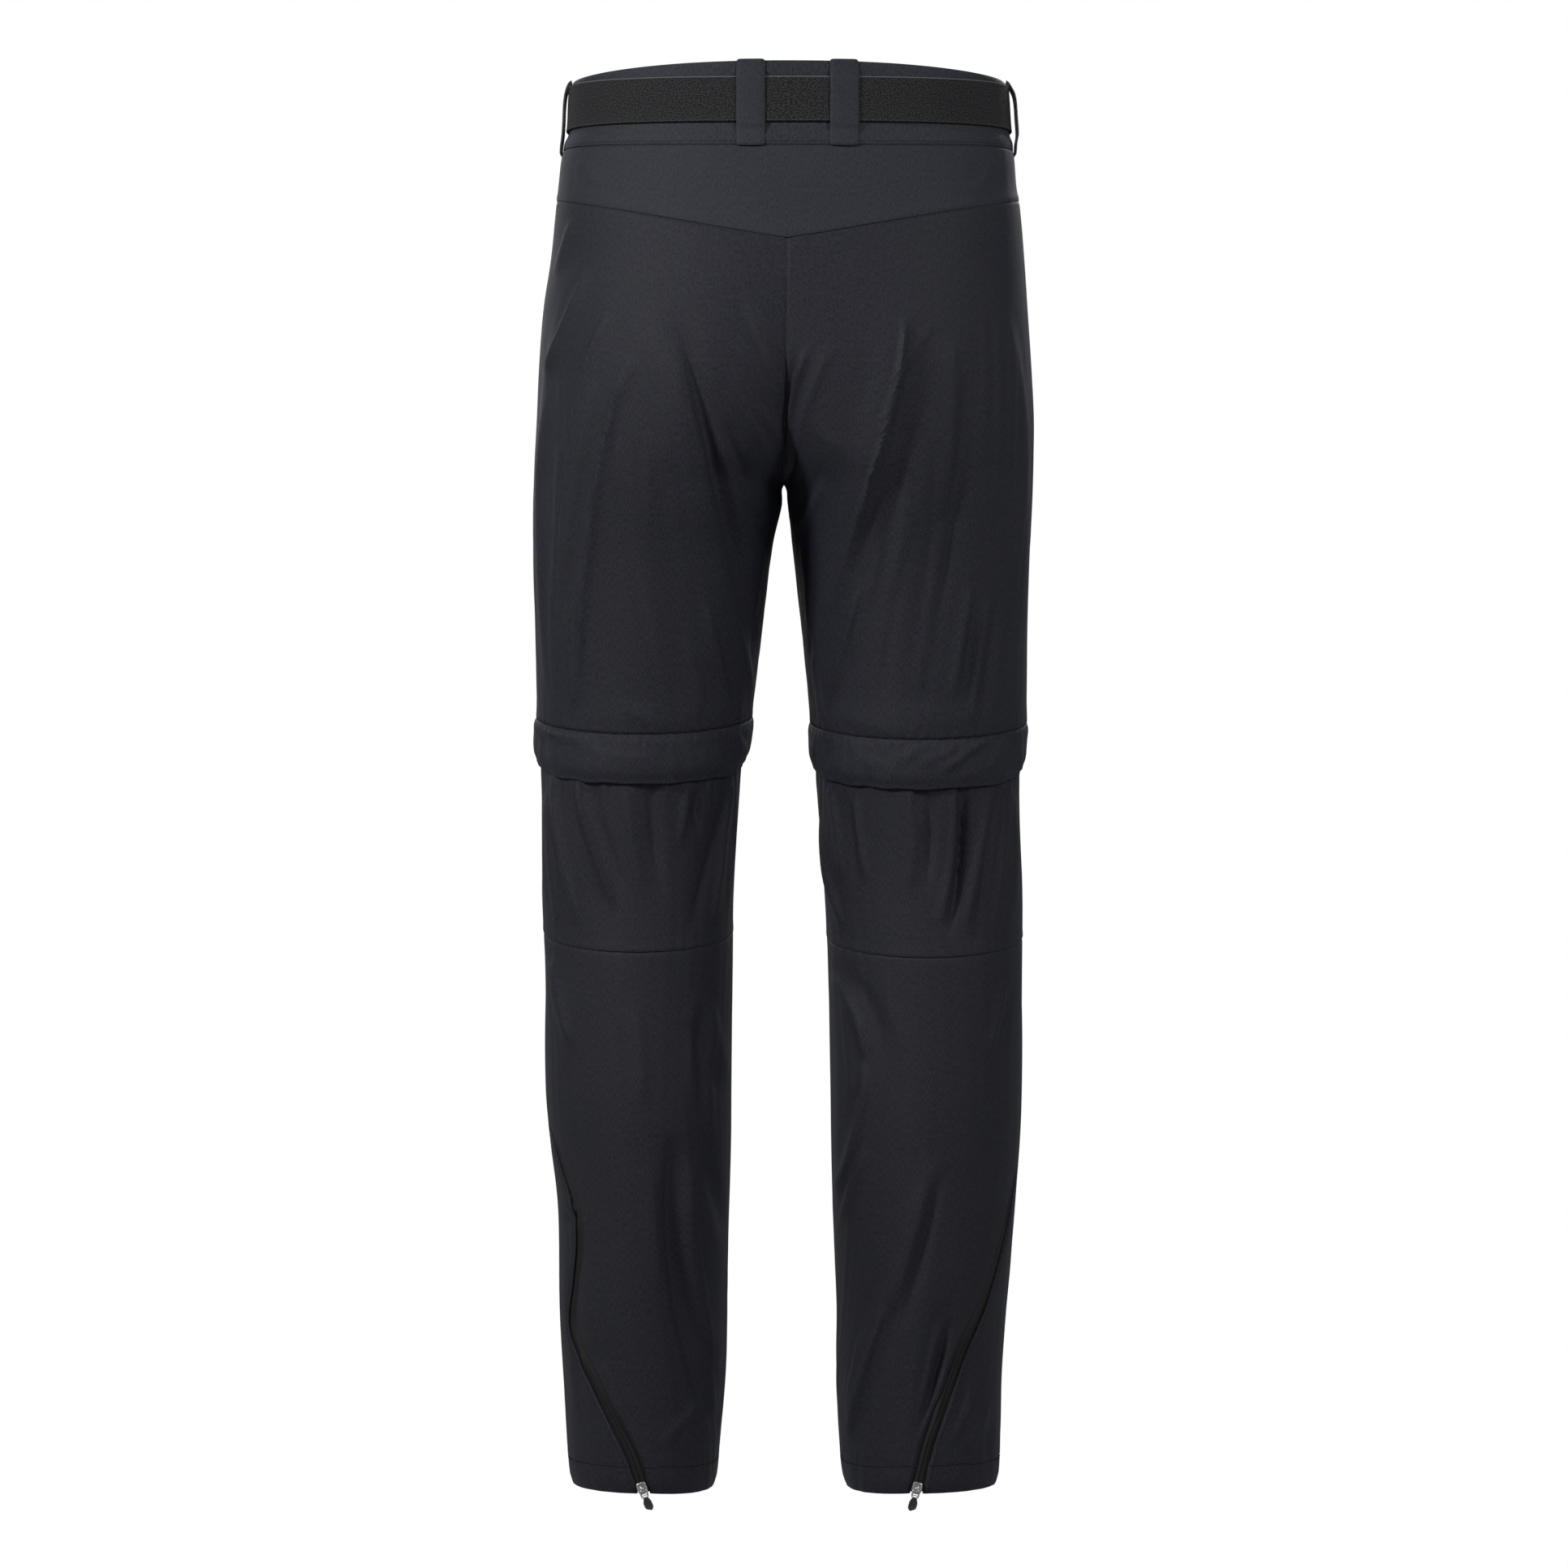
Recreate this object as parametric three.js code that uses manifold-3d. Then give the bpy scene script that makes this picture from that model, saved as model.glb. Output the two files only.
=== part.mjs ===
import * as THREE from 'three';
import { mergeVertices } from 'three/addons/utils/BufferGeometryUtils.js';
import Module from 'manifold-3d';

// Convertible trousers, worn and filled out. Millimetres, +Z up, the wearer's back at -Y,
// the wearer's right leg at +X, and z = 0 at mid height of the belt.

// Driving sizes of cloth and seams
const CLOTH = 1.4;
const SEAM_GAP = 0.3;
const CROTCH_Z = -290;
const HEM_Z = -1047;
const RING_DIP = 14;
const FLAP_DROP = 36;
const KNEE_ZIP_HEIGHT = 24;
const BACK_COLUMNS = 16;
const FRONT_COLUMNS = 12;

// Levels of the seams at the side, centre back and centre front
const WAIST_TOP = { side: 13, back: 19, front: 6 };
const WAIST_SEAM = { side: -38, back: -44, front: -46 };
const YOKE_SEAM = { side: -76, back: -114 };
const FLAP_SEAM_Z = -466;
const KNEE_SEAM_Z = -628;

// Belt, loops and buckle
const BELT = { top: { side: 10, back: 7, front: 3 }, width: 34, thickness: 1.8 };
const LOOP = { width: 21, thickness: 1.6, top: 20, bottom: -45 };
const BUCKLE = { width: 46, height: 38, thickness: 4, corner: 6, rim: 0.8 };
const FLY = { top: -47, bottom: -205, width: 36, overlap: 3, thickness: 1.2 };

// Hem zip, its slider and its pull
const ZIP = { width: 9.5, underlap: 3, tape: 1, depth: 2.4, coilWidth: 4.6, coilHeight: 1.6 };
const SLIDER = { width: 8, length: 9, thickness: 3, seat: -1.7, taper: 1.3 };
const CROWN = { width: 2, leg: 1.1, cavity: 3.4, clear: 1.9, roof: 0.9 };
const LINK = { width: 6.4, bar: 1.2, length: 6.2, holeWidth: 3.4, holeEnd: 5, bevel: 0.25 };
const GRIP = { width: 6.6, length: 9.5, thickness: 2.6, slant: 2.2, bevel: 0.5 };

// Levels of each leg: height, reach from the centre plane to the outer and the inner side,
// depth to the back and to the front, and the squareness of the section
const LEVEL_COLUMNS = ['z', 'out', 'in', 'back', 'front', 'square'];
const LEFT_LEVELS = [
  [21, 162.5, -162.5, 105, 100, 2.25],
  [0, 164, -164, 106, 101, 2.25],
  [-25, 165.5, -165.5, 107, 102, 2.25],
  [-41, 170.5, -170.5, 111, 105, 2.25],
  [-65, 173.4, -173.4, 116, 108, 2.22],
  [-83, 175.3, -172, 119, 109, 2.2],
  [-120, 179, -150, 125, 110, 2.2],
  [-157, 184.5, -116, 129, 110, 2.2],
  [-200, 187.9, -80, 131, 109, 2.15],
  [-240, 189.7, -46, 128, 107, 2.1],
  [-270, 191.3, -20, 123, 105, 2.1],
  [-290, 192, 2.5, 118, 103, 2.1],
  [-304, 192.5, 5.5, 114, 102, 2.1],
  [-340, 192.5, 11.6, 107, 99, 2.1],
  [-397, 191.3, 18.5, 98, 95, 2.1],
  [-452, 190, 25.2, 91, 92, 2.1],
  [-468, 189.6, 27.2, 90, 91.5, 2.1],
  [-490, 187, 33, 86, 89.5, 2.1],
  [-520, 186.3, 35.8, 84, 89, 2.1],
  [-600, 185.7, 40.6, 82, 88, 2.1],
  [-655, 183.3, 41.2, 85, 83, 2.1],
  [-747, 182, 42.4, 89, 74, 2.1],
  [-784, 179, 42.8, 88.5, 71, 2.1],
  [-840, 173.4, 44.3, 86, 69, 2.1],
  [-913, 172.2, 45.5, 80, 67, 2.1],
  [-968, 169.3, 47.4, 75, 66, 2.1],
  [-1024, 166, 51.7, 70.5, 66, 2.1],
  [-1048, 163.5, 54, 69, 66, 2.1],
];
const RIGHT_LEVELS = [
  [21, 165, -165, 105, 100, 2.25],
  [0, 166.5, -166.5, 106, 101, 2.25],
  [-25, 168.3, -168.3, 107, 102, 2.25],
  [-41, 171.6, -171.6, 111, 105, 2.25],
  [-65, 173.6, -173.6, 116, 108, 2.22],
  [-83, 176.5, -173, 119, 109, 2.2],
  [-120, 179.6, -150, 125, 110, 2.2],
  [-157, 182, -117, 129, 110, 2.2],
  [-200, 184.8, -83, 131, 109, 2.15],
  [-240, 186.8, -50, 128, 107, 2.1],
  [-270, 186.6, -24, 123, 105, 2.1],
  [-290, 186.2, -2.5, 118, 103, 2.1],
  [-304, 185.7, 0.2, 114, 102, 2.1],
  [-340, 184, 4.2, 107, 99, 2.1],
  [-397, 182, 10.5, 98, 95, 2.1],
  [-452, 181.4, 16, 91, 92, 2.1],
  [-470, 181, 17.6, 90, 91.5, 2.1],
  [-492, 176.6, 21.2, 86, 89.5, 2.1],
  [-520, 175.8, 22.4, 84, 89, 2.1],
  [-600, 178.1, 28.3, 82, 88, 2.1],
  [-655, 177.8, 30.9, 85, 83, 2.1],
  [-747, 177, 32.8, 89, 74, 2.1],
  [-784, 175.9, 33.3, 88.5, 71, 2.1],
  [-840, 172.2, 34.4, 86, 69, 2.1],
  [-913, 166, 37.4, 80, 67, 2.1],
  [-968, 162.4, 37.5, 75, 66, 2.1],
  [-1024, 161, 40, 70.5, 66, 2.1],
  [-1048, 159.5, 43, 69, 66, 2.1],
];

// Line of each hem zip: height, and degrees round the leg from its outer side towards the back
const ZIP_COLUMNS = ['z', 'angle'];
const LEFT_ZIP_LINE = [
  [-772, 0], [-790, 20], [-808, 30], [-826, 38], [-845, 42.5], [-872, 42], [-905, 36],
  [-922, 34.5], [-940, 41], [-955, 50], [-980, 63.5], [-1018, 83], [-1048, 92],
];
const RIGHT_ZIP_LINE = [
  [-800, 0], [-817, 15], [-846, 25], [-864, 31], [-886, 39], [-907, 47], [-924, 55.5],
  [-941, 63], [-972, 73.5], [-1004, 84.5], [-1022, 89], [-1048, 95],
];

// The largest folds: leg and face, a path through three places (x, z), half width, and height,
// which is below zero in a trough
const FOLD_COLUMNS = ['leg', 'face', 'x0', 'z0', 'x1', 'z1', 'x2', 'z2', 'spread', 'height'];
const FOLDS = [
  ['left', 'back', -98, -180, -76, -272, -46, -420, 14, 4],
  ['left', 'back', -78, -180, -52, -275, -27, -425, 11, -4.5],
  ['left', 'back', -133, -170, -160, -261, -172, -440, 11, 2.2],
  ['left', 'back', -115, -200, -141, -291, -155, -447, 11, 2.2],
  ['left', 'back', -47, -232, -33, -285, -14, -330, 9, -2.5],
  ['right', 'back', 83, -172, 73, -261, 28, -402, 14, 4.5],
  ['right', 'back', 100, -185, 92, -275, 52, -420, 11, -2.5],
  ['right', 'back', 133, -220, 119, -342, 97, -450, 13, -3.5],
  ['right', 'back', 163, -340, 160, -400, 155, -458, 9, -1.6],
  ['left', 'back', -174, -510, -165, -570, -153, -622, 9, 2],
  ['left', 'back', -103, -512, -102, -545, -97, -590, 8, -2.5],
  ['left', 'back', -45, -530, -56, -580, -71, -624, 9, -2.5],
  ['right', 'back', 25, -530, 31, -575, 40, -620, 9, 2],
  ['right', 'back', 105, -516, 103, -550, 105, -592, 8, -2.2],
  ['right', 'back', 131, -514, 130, -560, 124, -622, 10, -3.5],
  ['right', 'back', 165, -514, 158, -570, 146, -628, 9, -2.5],
  ['left', 'back', -178, -645, -170, -680, -163, -712, 10, 1.8],
  ['left', 'back', -91, -790, -84, -890, -73, -1000, 11, -2.6],
  ['right', 'back', 35, -640, 60, -706, 37, -827, 12, 2.4],
  ['right', 'back', 121, -900, 112, -950, 102, -998, 9, -2.2],
  ['left', 'front', -122, -160, -104, -240, -70, -300, 12, -3],
  ['left', 'front', -66, -235, -46, -290, -40, -400, 11, -3.5],
  ['left', 'front', -150, -260, -158, -350, -150, -440, 12, 2.5],
  ['right', 'front', 118, -150, 98, -230, 62, -305, 12, -3],
  ['right', 'front', 62, -245, 40, -300, 32, -410, 11, -3.5],
  ['right', 'front', 140, -250, 150, -340, 140, -445, 12, 2.5],
  ['left', 'front', -88, -520, -94, -560, -90, -612, 10, -2.5],
  ['right', 'front', 86, -520, 78, -565, 82, -612, 10, -2.5],
  ['left', 'front', -92, -700, -84, -820, -90, -960, 12, -2.4],
  ['right', 'front', 84, -690, 78, -810, 84, -950, 12, -2.4],
];

// Cloth flap over the knee zip: share of its drop, and how far it stands off the leg
const FLAP_STAND_OFF = [[0, 0], [0.12, 2], [0.3, 3.3], [0.62, 4.7], [1, 4.4]];

function namedRows(columns, rows) {
  return rows.map((row) => Object.fromEntries(columns.map((name, i) => [name, row[i]])));
}

// Smooth curve through the rows of a table, held level past both ends
function smoothCurve(rows, key, value) {
  const places = rows.map((row) => [row[key], row[value]]).sort((a, b) => a[0] - b[0]);
  const last = places.length - 1;
  const slopes = places.map((place, i) => {
    const before = places[Math.max(i - 1, 0)];
    const after = places[Math.min(i + 1, last)];
    return (after[1] - before[1]) / (after[0] - before[0]);
  });
  return (at) => {
    const x = THREE.MathUtils.clamp(at, places[0][0], places[last][0]);
    let i = 0;
    while (i < last - 1 && places[i + 1][0] < x) i += 1;
    const step = places[i + 1][0] - places[i][0];
    const t = (x - places[i][0]) / step;
    const fromStart = places[i][1] * (2 * t ** 3 - 3 * t ** 2 + 1) + slopes[i] * step * (t ** 3 - 2 * t ** 2 + t);
    const fromEnd = places[i + 1][1] * (3 * t ** 2 - 2 * t ** 3) + slopes[i + 1] * step * (t ** 3 - t ** 2);
    return fromStart + fromEnd;
  };
}

function makeLeg(name, side, levelRows, zipRows, kneeDrop) {
  const levels = namedRows(LEVEL_COLUMNS, levelRows);
  const zipLine = namedRows(ZIP_COLUMNS, zipRows);
  const leg = { name, side, kneeDrop, zipTop: zipLine[0].z };
  for (const column of LEVEL_COLUMNS.slice(1)) leg[column] = smoothCurve(levels, 'z', column);
  const zipDegrees = smoothCurve(zipLine, 'z', 'angle');
  leg.zipAngle = (z) => THREE.MathUtils.degToRad(zipDegrees(z));
  leg.folds = namedRows(FOLD_COLUMNS, FOLDS).filter((fold) => fold.leg === name);
  return leg;
}
const LEFT = makeLeg('left', -1, LEFT_LEVELS, LEFT_ZIP_LINE, 0);
const RIGHT = makeLeg('right', 1, RIGHT_LEVELS, RIGHT_ZIP_LINE, 4);
const LEGS = [LEFT, RIGHT];

// The plane between the legs drifts 2.5 mm to the left on its way down to the crotch
function centrePlaneX(z) {
  return -2.5 * THREE.MathUtils.smoothstep(-z, 120, -CROTCH_Z);
}

// A leg's section at height z is an oval between its outer and inner reach. The angle is 0 at the
// outer side, 90 degrees at the back, 180 at the inner side and -90 at the front.
function sectionPoint(leg, angle, z) {
  const middle = (leg.out(z) + leg.in(z)) / 2;
  const halfWidth = (leg.out(z) - leg.in(z)) / 2;
  const power = 2 / leg.square(z);
  const across = Math.cos(angle);
  const along = Math.sin(angle);
  const depth = along >= 0 ? leg.back(z) : leg.front(z);
  const x = middle + halfWidth * Math.sign(across) * Math.abs(across) ** power;
  const y = -depth * Math.sign(along) * Math.abs(along) ** power;
  return new THREE.Vector3(leg.side * x, y, z);
}

function sectionNormal(leg, angle, z) {
  const turn = sectionPoint(leg, angle + 0.02, z).sub(sectionPoint(leg, angle - 0.02, z));
  const rise = sectionPoint(leg, angle, z + 2).sub(sectionPoint(leg, angle, z - 2));
  return turn.cross(rise).multiplyScalar(-leg.side).normalize();
}

// Angle at which the section meets the plane between the legs, above the crotch
function innerAngle(leg, z) {
  if (z <= CROTCH_Z) return Math.PI;
  const middle = (leg.out(z) + leg.in(z)) / 2;
  const halfWidth = (leg.out(z) - leg.in(z)) / 2;
  const across = (leg.side * centrePlaneX(z) - middle) / halfWidth;
  if (across <= -1) return Math.PI;
  return Math.acos(Math.sign(across) * Math.abs(across) ** (leg.square(z) / 2));
}

// Height of the folds at a place: each fold is a rounded ridge or trough along its path, which
// fades at its ends, at the side seams and at the centre seam
function foldHeight(leg, angle, place) {
  const face = Math.sin(angle) >= 0 ? 'back' : 'front';
  const fromSides = THREE.MathUtils.smoothstep(Math.abs(Math.sin(angle)), 0.05, 0.4);
  const fromCentre = place.z > CROTCH_Z
    ? THREE.MathUtils.smoothstep(Math.abs(place.x - centrePlaneX(place.z)), 2, 22)
    : 1;
  let height = 0;
  for (const fold of leg.folds) {
    if (fold.face !== face) continue;
    let nearest = Infinity;
    let fade = 0;
    for (let k = 0; k <= 16; k += 1) {
      const t = k / 16;
      const x = fold.x0 * (1 - t) ** 2 + 2 * fold.x1 * t * (1 - t) + fold.x2 * t ** 2;
      const z = fold.z0 * (1 - t) ** 2 + 2 * fold.z1 * t * (1 - t) + fold.z2 * t ** 2;
      const distance = Math.hypot(place.x - x, place.z - z);
      if (distance < nearest) {
        nearest = distance;
        fade = Math.sin(Math.PI * (0.08 + 0.84 * t));
      }
    }
    height += fold.height * fade * Math.exp(-((nearest / fold.spread) ** 2));
  }
  return height * fromSides * fromCentre;
}

// A place on the cloth, standing off the leg's smooth section
function clothPlace(leg, angle, z, standOff, folded) {
  const place = sectionPoint(leg, angle, z);
  const normal = sectionNormal(leg, angle, z);
  const lift = standOff + (folded ? foldHeight(leg, angle, place) : 0);
  return { outer: place.addScaledVector(normal, lift), normal };
}

function withWall(spot, wall) {
  return { ...spot, inner: spot.outer.clone().addScaledVector(spot.normal, -wall) };
}

// Closed wall between an outer and an inner skin, from rows of places. A ring joins its last
// column to its first.
function wallGeometry(rows, ring) {
  const columnCount = rows[0].length;
  const positions = [];
  for (const skin of ['outer', 'inner']) {
    for (const row of rows) {
      for (const spot of row) positions.push(...spot[skin].toArray());
    }
  }
  const skinSize = rows.length * columnCount;
  const index = [];
  const quad = (a, b, c, d) => index.push(a, b, c, a, c, d);
  const spans = ring ? columnCount : columnCount - 1;
  for (let i = 0; i < rows.length - 1; i += 1) {
    for (let j = 0; j < spans; j += 1) {
      const a = i * columnCount + j;
      const b = i * columnCount + ((j + 1) % columnCount);
      quad(a, b, b + columnCount, a + columnCount);
      quad(skinSize + a, skinSize + a + columnCount, skinSize + b + columnCount, skinSize + b);
    }
  }
  const lastRow = (rows.length - 1) * columnCount;
  for (let j = 0; j < spans; j += 1) {
    const next = (j + 1) % columnCount;
    quad(j, skinSize + j, skinSize + next, next);
    quad(lastRow + j, lastRow + next, skinSize + lastRow + next, skinSize + lastRow + j);
  }
  if (!ring) {
    for (let i = 0; i < rows.length - 1; i += 1) {
      const left = i * columnCount;
      const right = left + columnCount - 1;
      quad(left, left + columnCount, skinSize + left + columnCount, skinSize + left);
      quad(right, skinSize + right, skinSize + right + columnCount, right + columnCount);
    }
  }
  return closedGeometry(positions, index);
}

// Geometry whose faces point outwards, whichever way round its rows were given
function closedGeometry(positions, index) {
  const corner = (k) => new THREE.Vector3().fromArray(positions, index[k] * 3);
  let volume = 0;
  for (let k = 0; k < index.length; k += 3) {
    volume += corner(k).dot(corner(k + 1).cross(corner(k + 2)));
  }
  if (volume < 0) index.reverse();
  const geometry = new THREE.BufferGeometry();
  geometry.setAttribute('position', new THREE.Float32BufferAttribute(positions, 3));
  geometry.setIndex(index);
  geometry.computeVertexNormals();
  return geometry;
}

function spread(from, to, steps) {
  return Array.from({ length: steps + 1 }, (unused, i) => from + ((to - from) * i) / steps);
}

// Level of a torso seam where the section looks out at this angle
function torsoLevel(seam, angle) {
  const facing = Math.sin(angle);
  return seam.side + ((facing >= 0 ? seam.back : seam.front) - seam.side) * facing ** 2;
}

function torsoSeam(seam) {
  return (share) => torsoLevel(seam, (share * Math.PI) / 2);
}

function frontTorsoSeam(seam) {
  return (share) => torsoLevel(seam, (-share * Math.PI) / 2);
}

// The yoke runs level at the side and then straight down to its point at centre back
function yokeSeam(share) {
  return YOKE_SEAM.side + (YOKE_SEAM.back - YOKE_SEAM.side) * share ** 1.5;
}

// A seam round a leg tilts down towards the back
function legSeam(z, facing) {
  return (share) => z - RING_DIP * facing * Math.sin(Math.PI * share);
}

// Half the strip of zip that shows, as an angle round the leg at this height
function zipHalfAngle(leg, z) {
  if (z > leg.zipTop) return 0;
  const angle = leg.zipAngle(z);
  const turnSize = sectionPoint(leg, angle + 0.01, z).distanceTo(sectionPoint(leg, angle - 0.01, z)) / 0.02;
  const slope = ((leg.zipAngle(z + 3) - leg.zipAngle(z - 3)) / 6) * turnSize;
  const opening = THREE.MathUtils.smoothstep(leg.zipTop - z, 0, 10);
  return (opening * ZIP.width * Math.hypot(1, slope)) / 2 / turnSize;
}

// A panel between two seams. Its rows run from the outer side to the inner side of the leg, and
// half the seam's gap is left along each edge.
function panelGeometry(leg, facing, topSeam, bottomSeam, shares, columns, bottomGap = SEAM_GAP) {
  const edge = SEAM_GAP / 2;
  const rows = shares.map((down) => spread(0, 1, columns).map((share) => {
    const upper = topSeam(share) - edge;
    const lower = bottomSeam(share) + bottomGap / 2;
    const z = upper + (lower - upper) * down;
    const start = facing * leg.zipAngle(z) + zipHalfAngle(leg, z) + edge / leg.back(z);
    const end = innerAngle(leg, z) - (z <= CROTCH_Z ? edge / leg.back(z) : 0);
    const angle = facing * (start + (end - start) * share);
    const spot = clothPlace(leg, angle, z, 0, true);
    if (z > CROTCH_Z - 1) {
      const nearest = leg.side * centrePlaneX(z) + edge;
      spot.outer.x = leg.side * Math.max(leg.side * spot.outer.x, nearest);
    }
    return withWall(spot, CLOTH);
  }));
  return wallGeometry(rows, false);
}

// Places round the waist from centre front, by the right side and the back, to centre front again
function waistStations(frontHalfGap) {
  const quarter = (columns, from, to, leg) => spread(from, to, columns).map((share) => ({ leg, share }));
  const stations = [
    ...quarter(FRONT_COLUMNS, -1, 0, RIGHT),
    ...quarter(BACK_COLUMNS, 0, 1, RIGHT).slice(1),
    ...quarter(BACK_COLUMNS, 1, 0, LEFT).slice(1),
    ...quarter(FRONT_COLUMNS, 0, -1, LEFT).slice(1),
  ];
  const last = stations.length - 1;
  return stations.map(({ leg, share }, i) => ({
    leg,
    share,
    trim: i === 0 || i === last ? frontHalfGap : 0,
  }));
}

function waistBand(stations, levels, standOff, wall) {
  const rows = levels.map((level) => stations.map(({ leg, share, trim }) => {
    const z = level(share);
    const angle = Math.sign(share) * (Math.abs(share) * innerAngle(leg, z) - trim / leg.out(z));
    return withWall(clothPlace(leg, angle, z, standOff, false), wall);
  }));
  return wallGeometry(rows, false);
}

function waistband() {
  const upper = (share) => torsoLevel(WAIST_TOP, (share * Math.PI) / 2);
  const lower = (share) => torsoLevel(WAIST_SEAM, (share * Math.PI) / 2) + SEAM_GAP / 2;
  const levels = [0, 0.72, 1].map((down) => (share) => upper(share) + (lower(share) - upper(share)) * down);
  return waistBand(waistStations(SEAM_GAP / 2), levels, 0, CLOTH);
}

function belt() {
  const upper = (share) => torsoLevel(BELT.top, (share * Math.PI) / 2);
  const levels = [upper, (share) => upper(share) - BELT.width];
  return waistBand(waistStations(SEAM_GAP / 2), levels, SEAM_GAP + BELT.thickness, BELT.thickness);
}

function yoke() {
  const edge = SEAM_GAP / 2;
  const waistSeam = torsoSeam(WAIST_SEAM);
  const half = (leg) => spread(0, 1, BACK_COLUMNS).map((share) => ({ leg, share }));
  const stations = [...half(RIGHT), ...half(LEFT).reverse().slice(1)];
  const rows = spread(0, 1, 3).map((down) => stations.map(({ leg, share }) => {
    const upper = waistSeam(share) - edge;
    const z = upper + (yokeSeam(share) + edge - upper) * down;
    const start = edge / leg.back(z);
    const angle = start + (innerAngle(leg, z) - start) * share;
    return withWall(clothPlace(leg, angle, z, 0, false), CLOTH);
  }));
  return wallGeometry(rows, false);
}

// Rows of the thigh, close together where the centre seam turns under the crotch
const THIGH_SHARES = [0, 0.08, 0.16, 0.24, 0.32, 0.39, 0.44, 0.475, 0.496, 0.53, 0.6, 0.68, 0.77, 0.86, 0.93, 1];

function thighBack(leg) {
  return panelGeometry(leg, 1, yokeSeam, legSeam(FLAP_SEAM_Z - leg.kneeDrop, 1), THIGH_SHARES, BACK_COLUMNS);
}

// The front runs up to the waist seam, so it has rows beside the yoke as well. Its rows meet the
// back's at the side seam.
function thighFront(leg) {
  const bottom = FLAP_SEAM_Z - leg.kneeDrop;
  const heights = [
    ...spread(WAIST_SEAM.side, YOKE_SEAM.side, 3).slice(0, -1),
    ...THIGH_SHARES.map((share) => YOKE_SEAM.side + (bottom - YOKE_SEAM.side) * share),
  ];
  const shares = heights.map((z) => (WAIST_SEAM.side - z) / (WAIST_SEAM.side - bottom));
  return panelGeometry(leg, -1, frontTorsoSeam(WAIST_SEAM), legSeam(bottom, -1), shares, FRONT_COLUMNS);
}

function kneePanel(leg, facing) {
  const top = legSeam(FLAP_SEAM_Z - KNEE_ZIP_HEIGHT - leg.kneeDrop, facing);
  const bottom = legSeam(KNEE_SEAM_Z - leg.kneeDrop, facing);
  return panelGeometry(leg, facing, top, bottom, spread(0, 1, 5), facing > 0 ? BACK_COLUMNS : FRONT_COLUMNS);
}

// Rows of the lower leg at the zip's line, close together where the zip opens the seam
function zipHeights(leg) {
  return [leg.zipTop - 5, leg.zipTop - 13, leg.zipTop - 24, ...spread(leg.zipTop - 40, HEM_Z + 0.5, 8)];
}

// The lower leg is cut along the zip
function lowerPanel(leg, facing) {
  const topZ = KNEE_SEAM_Z - leg.kneeDrop;
  const heights = [...spread(topZ, leg.zipTop, 3), ...zipHeights(leg)];
  const shares = heights.map((z) => (topZ - z) / (topZ - heights.at(-1)));
  const hem = (share) => HEM_Z - 1.5 * facing * Math.sin(Math.PI * share);
  const columns = facing > 0 ? BACK_COLUMNS : FRONT_COLUMNS + 2;
  return panelGeometry(leg, facing, legSeam(topZ, facing), hem, shares, columns, 0);
}

// Places round a whole leg, at the same angles as the columns of its panels
function legStations() {
  return [
    ...spread(0, 1, BACK_COLUMNS).slice(0, -1).map((share) => ({ facing: 1, share })),
    ...spread(1, 0, FRONT_COLUMNS).slice(0, -1).map((share) => ({ facing: -1, share })),
  ];
}

function zipFlap(leg) {
  const rows = FLAP_STAND_OFF.map(([down, standOff]) => legStations().map(({ facing, share }) => {
    const top = legSeam(FLAP_SEAM_Z - leg.kneeDrop, facing)(share) - SEAM_GAP / 2;
    const z = top - FLAP_DROP * down;
    return withWall(clothPlace(leg, facing * Math.PI * share, z, standOff, false), CLOTH);
  }));
  return wallGeometry(rows, true);
}

// Zip round the knee: the tape lies behind the cloth on both sides, and its coil stands out
// between them, under the flap
function kneeZip(leg) {
  const underlap = 4;
  const coilHalf = 2.6;
  const middle = KNEE_ZIP_HEIGHT / 2;
  const tapeFace = -CLOTH - SEAM_GAP * 3;
  const profile = [
    [-underlap, tapeFace, 1],
    [middle - coilHalf, tapeFace, 1],
    [middle - coilHalf + 0.8, tapeFace + 1.6, 2.6],
    [middle + coilHalf - 0.8, tapeFace + 1.6, 2.6],
    [middle + coilHalf, tapeFace, 1],
    [KNEE_ZIP_HEIGHT + underlap, tapeFace, 1],
  ];
  const rows = profile.map(([drop, standOff, wall]) => legStations().map(({ facing, share }) => {
    const z = legSeam(FLAP_SEAM_Z - leg.kneeDrop, facing)(share) - drop;
    return withWall(clothPlace(leg, facing * Math.PI * share, z, standOff, true), wall);
  }));
  return wallGeometry(rows, true);
}

// Zip down the lower leg: a tape behind the cut edges, with its coil line in the middle, which
// ends under the slider
function legZip(leg) {
  const coilEnd = sliderPlace(leg).z + SLIDER.length - 2;
  const heights = [...zipHeights(leg).filter((z) => z > coilEnd + 4), coilEnd, coilEnd - 0.6, HEM_Z + 1.5];
  const rows = heights.map((z, i) => {
    const half = zipHalfAngle(leg, z);
    const perMm = zipHalfAngle(leg, Math.min(z, leg.zipTop - 13)) / (ZIP.width / 2);
    const raised = i > 0 && i < heights.length - 2 ? ZIP.coilHeight : 0;
    const profile = [
      [-half - ZIP.underlap * perMm, 0],
      [-ZIP.coilWidth * perMm / 2, 0],
      [-ZIP.coilWidth * perMm / 4, raised],
      [ZIP.coilWidth * perMm / 4, raised],
      [ZIP.coilWidth * perMm / 2, 0],
      [half + ZIP.underlap * perMm, 0],
    ];
    return profile.map(([turn, lift]) => {
      const spot = clothPlace(leg, leg.zipAngle(z) + turn, z, lift - ZIP.depth, true);
      return withWall(spot, ZIP.tape + lift);
    });
  });
  return wallGeometry(rows, false);
}

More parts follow.
